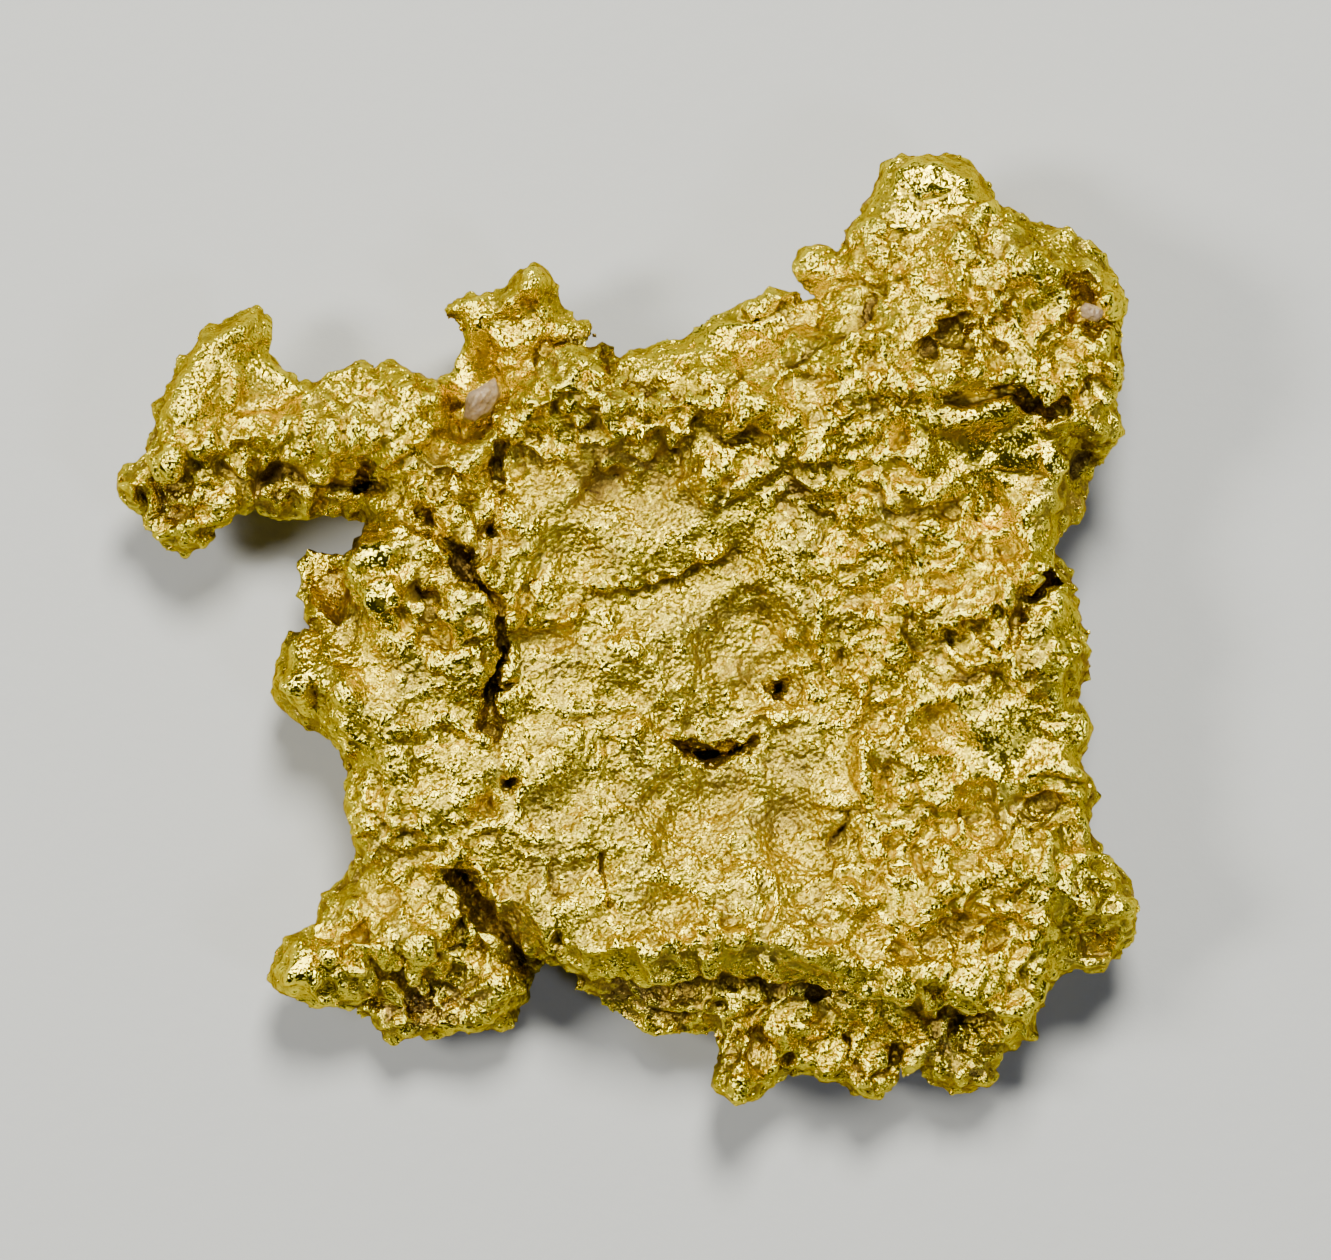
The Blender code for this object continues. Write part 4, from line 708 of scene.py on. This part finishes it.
def goldMaterial():
    look = Look("native gold")
    spot = look.place()
    crest, hollow = look.stored("crest"), look.stored("hollow")
    smooth, grain, stainAndShade = look.stored("smoothness"), look.stored("grain"), look.stored("stainAndShade")
    side, paintedGlow, creaseShade, crestHighlight = (look.stored(name) for name in ("side", "paintedGlow", "creaseShade", "crestHighlight"))

    cloud = look.noiseAt(spot, 0.55, 4.0, 0.6)
    blotch = look.noiseAt(spot, 3.0, 3.0, 0.6)
    speck = look.noiseAt(spot, 13.0, 2.0, 0.7)
    grains = 1.0 - look.cellsAt(spot, 10.0)

    lit = (look.spread(crest, 0.45, 0.90) * 0.8 + 0.7 * crestHighlight * look.spread(crest, 0.30, 0.60)).clamp()
    shadedHollow = look.spread(hollow + 0.35 * (blotch - 0.5), 0.38, 0.95)
    base = look.between(look.spread(cloud, 0.35, 0.65), goldLook["mid"], goldLook["pale"])
    base = look.between(grain * 0.75, base, goldLook["tan"])
    # painted warm shade in the hollows
    base = look.between(shadedHollow * 0.7, base, goldLook["hollowShade"])
    patch = look.spread(look.noiseAt(spot, 1.0, 4.0, 0.65, 0.4), 0.48, 0.66)
    base = look.between(patch * 0.72 * (1.0 - smooth * 0.5), base, goldLook["olive"])
    # painted glow in hollows, where the surface is not a crest
    base = look.between(paintedGlow * look.spread(crest, 0.75, 0.35), base, goldLook["paintedGlow"])
    # painted shade on the steep sides, the underside and darker places
    base = look.between(side * look.spread(blotch, 0.28, 0.55), base, goldLook["shadow"])
    # painted highlight: crests and smooth faces lighter in colour
    base = look.between((lit * 0.8 + smooth * 0.30).clamp(), base, goldLook["bright"])
    # stains, partly painted shade
    stainedAndShaded = (stainAndShade * look.spread(blotch, 0.30, 0.62)).clamp()
    base = look.between(stainedAndShaded * 0.8, base, goldLook["stainAndShade"])
    # dirt and painted shade in deep hollows, with random specks
    grimeAndShade = look.spread(hollow * 0.8 + 0.55 * speck + 0.25 * stainAndShade, 0.98, 1.30)
    base = look.between(grimeAndShade * (1.0 - smooth * 0.6), base, goldLook["dirtAndShade"])
    # painted shade in the creases and specks
    base = look.between((creaseShade * (0.55 + 0.9 * speck)).clamp(), base, goldLook["creaseShade"])

    rough = goldLook["roughGround"] - (goldLook["roughGround"] - goldLook["roughCrest"]) * lit
    rough = rough + 0.07 * patch - 0.04 * smooth + 0.09 * grain + 0.15 * creaseShade + 0.16 * (blotch - 0.5)
    rough = rough + (goldLook["roughDirt"] - goldLook["roughGround"]) * (grimeAndShade + stainedAndShaded * 0.5).clamp()
    metal = 1.0 - 0.75 * grimeAndShade - 0.20 * stainedAndShaded

    quiet = 1.0 - 0.70 * smooth
    coarse = look.noiseAt(spot, 6.5, 3.0, 0.6)
    folds = 1.0 - 2.0 * (look.noiseAt(spot, 4.0, 2.0, 0.55, 0.3) - 0.5).absolute()
    calm = quiet * (1.0 - 0.65 * grain)
    relief = (coarse + 0.7 * folds) * calm + 0.25 * smooth * look.noiseAt(spot, 1.6, 1.0, 0.4)
    shaped = look.bump(relief, goldLook["bumpCoarse"] * mm)
    fine = (0.4 * speck + grains) * (quiet * (0.7 + 0.6 * grain) + 0.10)
    shaped = look.bump(fine, goldLook["bumpFine"] * mm, shaped)

    # every small cell of the surface is tilted its own way, which gives the glitter of worn gold
    amount = goldLook["glitter"] * (1.0 - 0.6 * smooth)
    tilted = look.tilt(shaped, spot, 15.0, amount)
    tilted = look.tilt(tilted, spot, 8.0, amount * 0.6)
    look.shader.inputs["Specular Tint"].default_value = goldLook["edge"]
    look.shader.inputs["Specular IOR Level"].default_value = goldLook["edgeLevel"]
    return look.finish(Base_Color=base, Roughness=rough, Metallic=metal.clamp(), Normal=tilted)


quartzLook = {
    "pale": (0.31, 0.225, 0.150, 1.0),
    "dusky": (0.17, 0.115, 0.075, 1.0),
    "rough": 0.38,
    "bump": 0.05,                            # mm
    "glow": 0.25,                            # share of the light that passes under the surface
    "glowReach": (0.8, 0.6, 0.5),
    "glowDepth": 0.2,                        # mm
}


def quartzMaterial():
    look = Look("quartz")
    spot = look.place()
    cloud = look.noiseAt(spot, 3.2, 4.0, 0.6)
    veil = look.noiseAt(spot, 11.0, 3.0, 0.6)
    clouded = look.spread(cloud + 0.3 * veil, 0.5, 0.85)
    base = look.between(clouded, quartzLook["pale"], quartzLook["dusky"])
    rough = quartzLook["rough"] + 0.25 * (veil - 0.5)
    shaped = look.bump(look.cellsAt(spot, 3.5) + 0.3 * veil, quartzLook["bump"] * mm)
    look.shader.inputs["Subsurface Weight"].default_value = quartzLook["glow"]
    look.shader.inputs["Subsurface Radius"].default_value = quartzLook["glowReach"]
    look.shader.inputs["Subsurface Scale"].default_value = quartzLook["glowDepth"] * mm
    return look.finish(Base_Color=base, Roughness=rough, Normal=shaped)


floorLook = {
    "pale": (0.44, 0.46, 0.54, 1.0),
    "shade": (0.39, 0.41, 0.48, 1.0),
    "rough": 0.8,
    "bump": 0.01,                            # mm
    "half": 600.0,                           # mm from the middle to an edge
}


def floorMaterial():
    look = Look("pale paper")
    spot = look.place()
    cloud = look.noiseAt(spot, 0.02, 3.0, 0.5)
    fibre = look.noiseAt(spot, 2.5, 4.0, 0.6)
    base = look.between(cloud, floorLook["pale"], floorLook["shade"])
    rough = floorLook["rough"] + 0.1 * (fibre - 0.5)
    return look.finish(Base_Color=base, Roughness=rough, Normal=look.bump(fibre, floorLook["bump"] * mm))


# Small gold granules on the rough ground

granuleForm = {
    "density": 4.5,                          # per square mm
    "smallest": 0.035,                       # mm, radius
    "largest": 0.085,
    "flattest": (0.7, 0.6, 0.35),            # share of the radius along each axis
    "fullest": (1.3, 1.0, 0.75),
    "ripple": 0.07,                          # mm that the surface of a granule is uneven
    "ripples": 14.0,                         # to the mm
    "seed": 7,
    "lowest": 0.2,                           # mm above the floor
    "topGap": 0.15,                          # mm kept free under the highest point
}


def granuleTree():
    tree = bpy.data.node_groups.new("gold granules", "GeometryNodeTree")
    face = tree.interface
    face.new_socket("Geometry", in_out="INPUT", socket_type="NodeSocketGeometry")
    for name in ("Density", "Smallest", "Largest"):
        face.new_socket(name, in_out="INPUT", socket_type="NodeSocketFloat")
    face.new_socket("Seed", in_out="INPUT", socket_type="NodeSocketInt")
    face.new_socket("Material", in_out="INPUT", socket_type="NodeSocketMaterial")
    face.new_socket("Geometry", in_out="OUTPUT", socket_type="NodeSocketGeometry")

    def add(kind, settings, values):
        made = tree.nodes.new(kind)
        for key, value in settings.items():
            setattr(made, key, value)
        for key, value in values.items():
            if isinstance(value, bpy.types.NodeSocket):
                tree.links.new(value, made.inputs[key])
            else:
                made.inputs[key].default_value = value
        return made

    given = add("NodeGroupInput", {}, {})
    where = add("GeometryNodeInputNamedAttribute", {"data_type": "FLOAT"}, {"Name": "granules"})
    density = add("ShaderNodeMath", {"operation": "MULTIPLY"},
                  {0: where.outputs[0], 1: given.outputs["Density"]})
    points = add("GeometryNodeDistributePointsOnFaces", {},
                 {"Mesh": given.outputs["Geometry"], "Density": density.outputs[0],
                  "Seed": given.outputs["Seed"]})
    ball = add("GeometryNodeMeshIcoSphere", {}, {"Radius": 1.0, "Subdivisions": 2})
    size = add("FunctionNodeRandomValue", {"data_type": "FLOAT"},
               {2: given.outputs["Smallest"], 3: given.outputs["Largest"], "Seed": given.outputs["Seed"]})
    squash = add("FunctionNodeRandomValue", {"data_type": "FLOAT_VECTOR"},
                 {0: granuleForm["flattest"], 1: granuleForm["fullest"], "Seed": 11})
    scale = add("ShaderNodeVectorMath", {"operation": "SCALE"},
                {0: squash.outputs[0], "Scale": size.outputs[1]})
    turn = add("FunctionNodeRandomValue", {"data_type": "FLOAT"}, {2: 0.0, 3: 2 * math.pi, "Seed": 5})
    spin = add("FunctionNodeRotateRotation", {"rotation_space": "LOCAL"}, {0: points.outputs["Rotation"]})
    about = add("FunctionNodeAxisAngleToRotation", {}, {"Angle": turn.outputs[1]})
    tree.links.new(about.outputs[0], spin.inputs[1])
    copies = add("GeometryNodeInstanceOnPoints", {},
                 {"Points": points.outputs["Points"], "Instance": ball.outputs["Mesh"],
                  "Rotation": spin.outputs[0], "Scale": scale.outputs[0]})
    real = add("GeometryNodeRealizeInstances", {}, {"Geometry": copies.outputs[0]})
    ripple = add("ShaderNodeTexNoise", {}, {"Scale": granuleForm["ripples"] / mm, "Detail": 1.0})
    centred = add("ShaderNodeVectorMath", {"operation": "SUBTRACT"},
                  {0: ripple.outputs["Color"], 1: (0.5, 0.5, 0.5)})
    shift = add("ShaderNodeVectorMath", {"operation": "SCALE"},
                {0: centred.outputs[0], "Scale": granuleForm["ripple"] * mm})
    moved = add("GeometryNodeSetPosition", {}, {"Geometry": real.outputs[0], "Offset": shift.outputs[0]})
    dressed = add("GeometryNodeSetMaterial", {},
                  {"Geometry": moved.outputs[0], "Material": given.outputs["Material"]})
    add("NodeGroupOutput", {}, {"Geometry": dressed.outputs[0]})
    return tree


def makeGranules(gold, finish):
    mesh = gold.data.copy()
    mesh.name = "gold_granules"
    points = readPoints(mesh)
    level, sheet = points[:, 2], toSheet(points)
    crumple = blendMap(sheet, crumpleMap, goldForm["farCrumple"])
    smooth = np.clip(spots(sheet, smoothSpots), 0, 1)
    # more of them where the gold is crumpled, in loose groups, and fewer towards the floor
    where = np.clip(0.35 + 2.2 * crumple, 0, 1) * (1 - smooth) * np.clip(level / 0.6, 0, 1)
    where *= np.clip(0.5 + 1.6 * fieldNoise(points, 1.2, 90.0), 0.05, 1.3)
    where *= (level > granuleForm["lowest"]) & (level < level.max() - granuleForm["topGap"])
    addPointValue(mesh, "granules", where)
    piece = bpy.data.objects.new("gold_granules", mesh)
    bpy.context.scene.collection.objects.link(piece)
    modifier = piece.modifiers.new("granules", "NODES")
    tree = granuleTree()
    modifier.node_group = tree
    sockets = {item.name: item.identifier for item in tree.interface.items_tree if item.in_out == "INPUT"}
    modifier[sockets["Density"]] = granuleForm["density"] / mm**2
    modifier[sockets["Smallest"]] = granuleForm["smallest"] * mm
    modifier[sockets["Largest"]] = granuleForm["largest"] * mm
    modifier[sockets["Seed"]] = granuleForm["seed"]
    modifier[sockets["Material"]] = finish
    bakeModifiers(piece)
    piece.data.shade_smooth()
    print("granules:", len(piece.data.polygons), "faces")
    return piece


# Quartz

quartzForm = {
    "levels": 3,
    "facet": 0.05,                           # mm
    "rough": 0.012,                          # mm
}


def makeQuartz(node, label, finish):
    piece = nodeMesh(node, label)
    finer = piece.modifiers.new("finer", "SUBSURF")
    finer.subdivision_type = "SIMPLE"
    finer.levels = finer.render_levels = quartzForm["levels"]
    bakeModifiers(piece)
    mesh = piece.data
    points, normals = readPoints(mesh), readNormals(mesh)
    height = quartzForm["facet"] * fieldNoise(points, 0.22, 4.0)
    height += quartzForm["rough"] * fieldNoise(points, 0.06, 8.0)
    writePoints(mesh, points + normals * height[:, None])
    mesh.materials.clear()
    mesh.materials.append(finish)
    mesh.shade_smooth()
    print(label, len(mesh.polygons), "faces")
    return piece


# The nugget, put together

goldFinish = goldMaterial()
quartzFinish = quartzMaterial()

gold = makeGold()
gold.data.materials.clear()
gold.data.materials.append(goldFinish)
gold.data.shade_smooth()
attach(gold, "root")
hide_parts("gold_nugget")

granules = makeGranules(gold, goldFinish)
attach(granules, "root")

for node, label in (("quartz_grain", "quartz_in_cleft"), ("quartz_chip", "quartz_in_pit")):
    quartz = makeQuartz(node, label, quartzFinish)
    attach(quartz, "root")
    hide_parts(node)


# Floor, light and camera

studio = {
    "key": ((0.02, 0.165, 0.235), 0.09, 1.85, (1.0, 0.955, 0.74)),    # place, size, watts, colour
    "side": ((-0.20, 0.01, 0.19), 0.08, 0.85, (1.0, 0.95, 0.74)),
    "fill": ((0.17, -0.10, 0.22), 0.06, 0.16, (0.94, 0.97, 1.0)),
    "world": 0.024,
    "worldColour": (0.88, 0.95, 1.0, 1.0),
    "viewWidth": 26.62,                      # mm across the picture
    "viewCentre": (0.78, -0.02, 2.8),        # mm
    "lens": 180.0,
    "sensor": 36.0,
}


def makeFloor():
    half = floorLook["half"] * mm
    mesh = bpy.data.meshes.new("floor")
    corners = [(-half, -half, 0.0), (half, -half, 0.0), (half, half, 0.0), (-half, half, 0.0)]
    mesh.from_pydata(corners, [], [(0, 1, 2, 3)])
    mesh.materials.append(floorMaterial())
    floor = bpy.data.objects.new("floor", mesh)
    bpy.context.scene.collection.objects.link(floor)


def makeLight(name, place, size, watts, colour):
    lamp = bpy.data.lights.new(name, "AREA")
    lamp.shape = "DISK"
    lamp.size = size
    lamp.energy = watts
    lamp.color = colour
    made = bpy.data.objects.new(name, lamp)
    made.location = place
    made.rotation_euler = (Vector((0, 0, 0)) - Vector(place)).to_track_quat("-Z", "Y").to_euler()
    bpy.context.scene.collection.objects.link(made)


def makeCamera():
    data = bpy.data.cameras.new("camera")
    data.lens = studio["lens"]
    data.sensor_width = studio["sensor"]
    data.sensor_fit = "HORIZONTAL"
    data.clip_start = 0.005
    data.clip_end = 20.0
    x, y, z = studio["viewCentre"]
    away = studio["viewWidth"] / data.sensor_width * data.lens
    camera = bpy.data.objects.new("camera", data)
    camera.location = (x * mm, y * mm, (z + away) * mm)
    bpy.context.scene.collection.objects.link(camera)
    bpy.context.scene.camera = camera


makeFloor()
for name in ("key", "side", "fill"):
    makeLight(name, *studio[name])
makeCamera()

world = bpy.data.worlds.new("studio")
world.use_nodes = True
background = world.node_tree.nodes["Background"]
background.inputs["Color"].default_value = studio["worldColour"]
background.inputs["Strength"].default_value = studio["world"]
bpy.context.scene.world = world
print("studio ready")
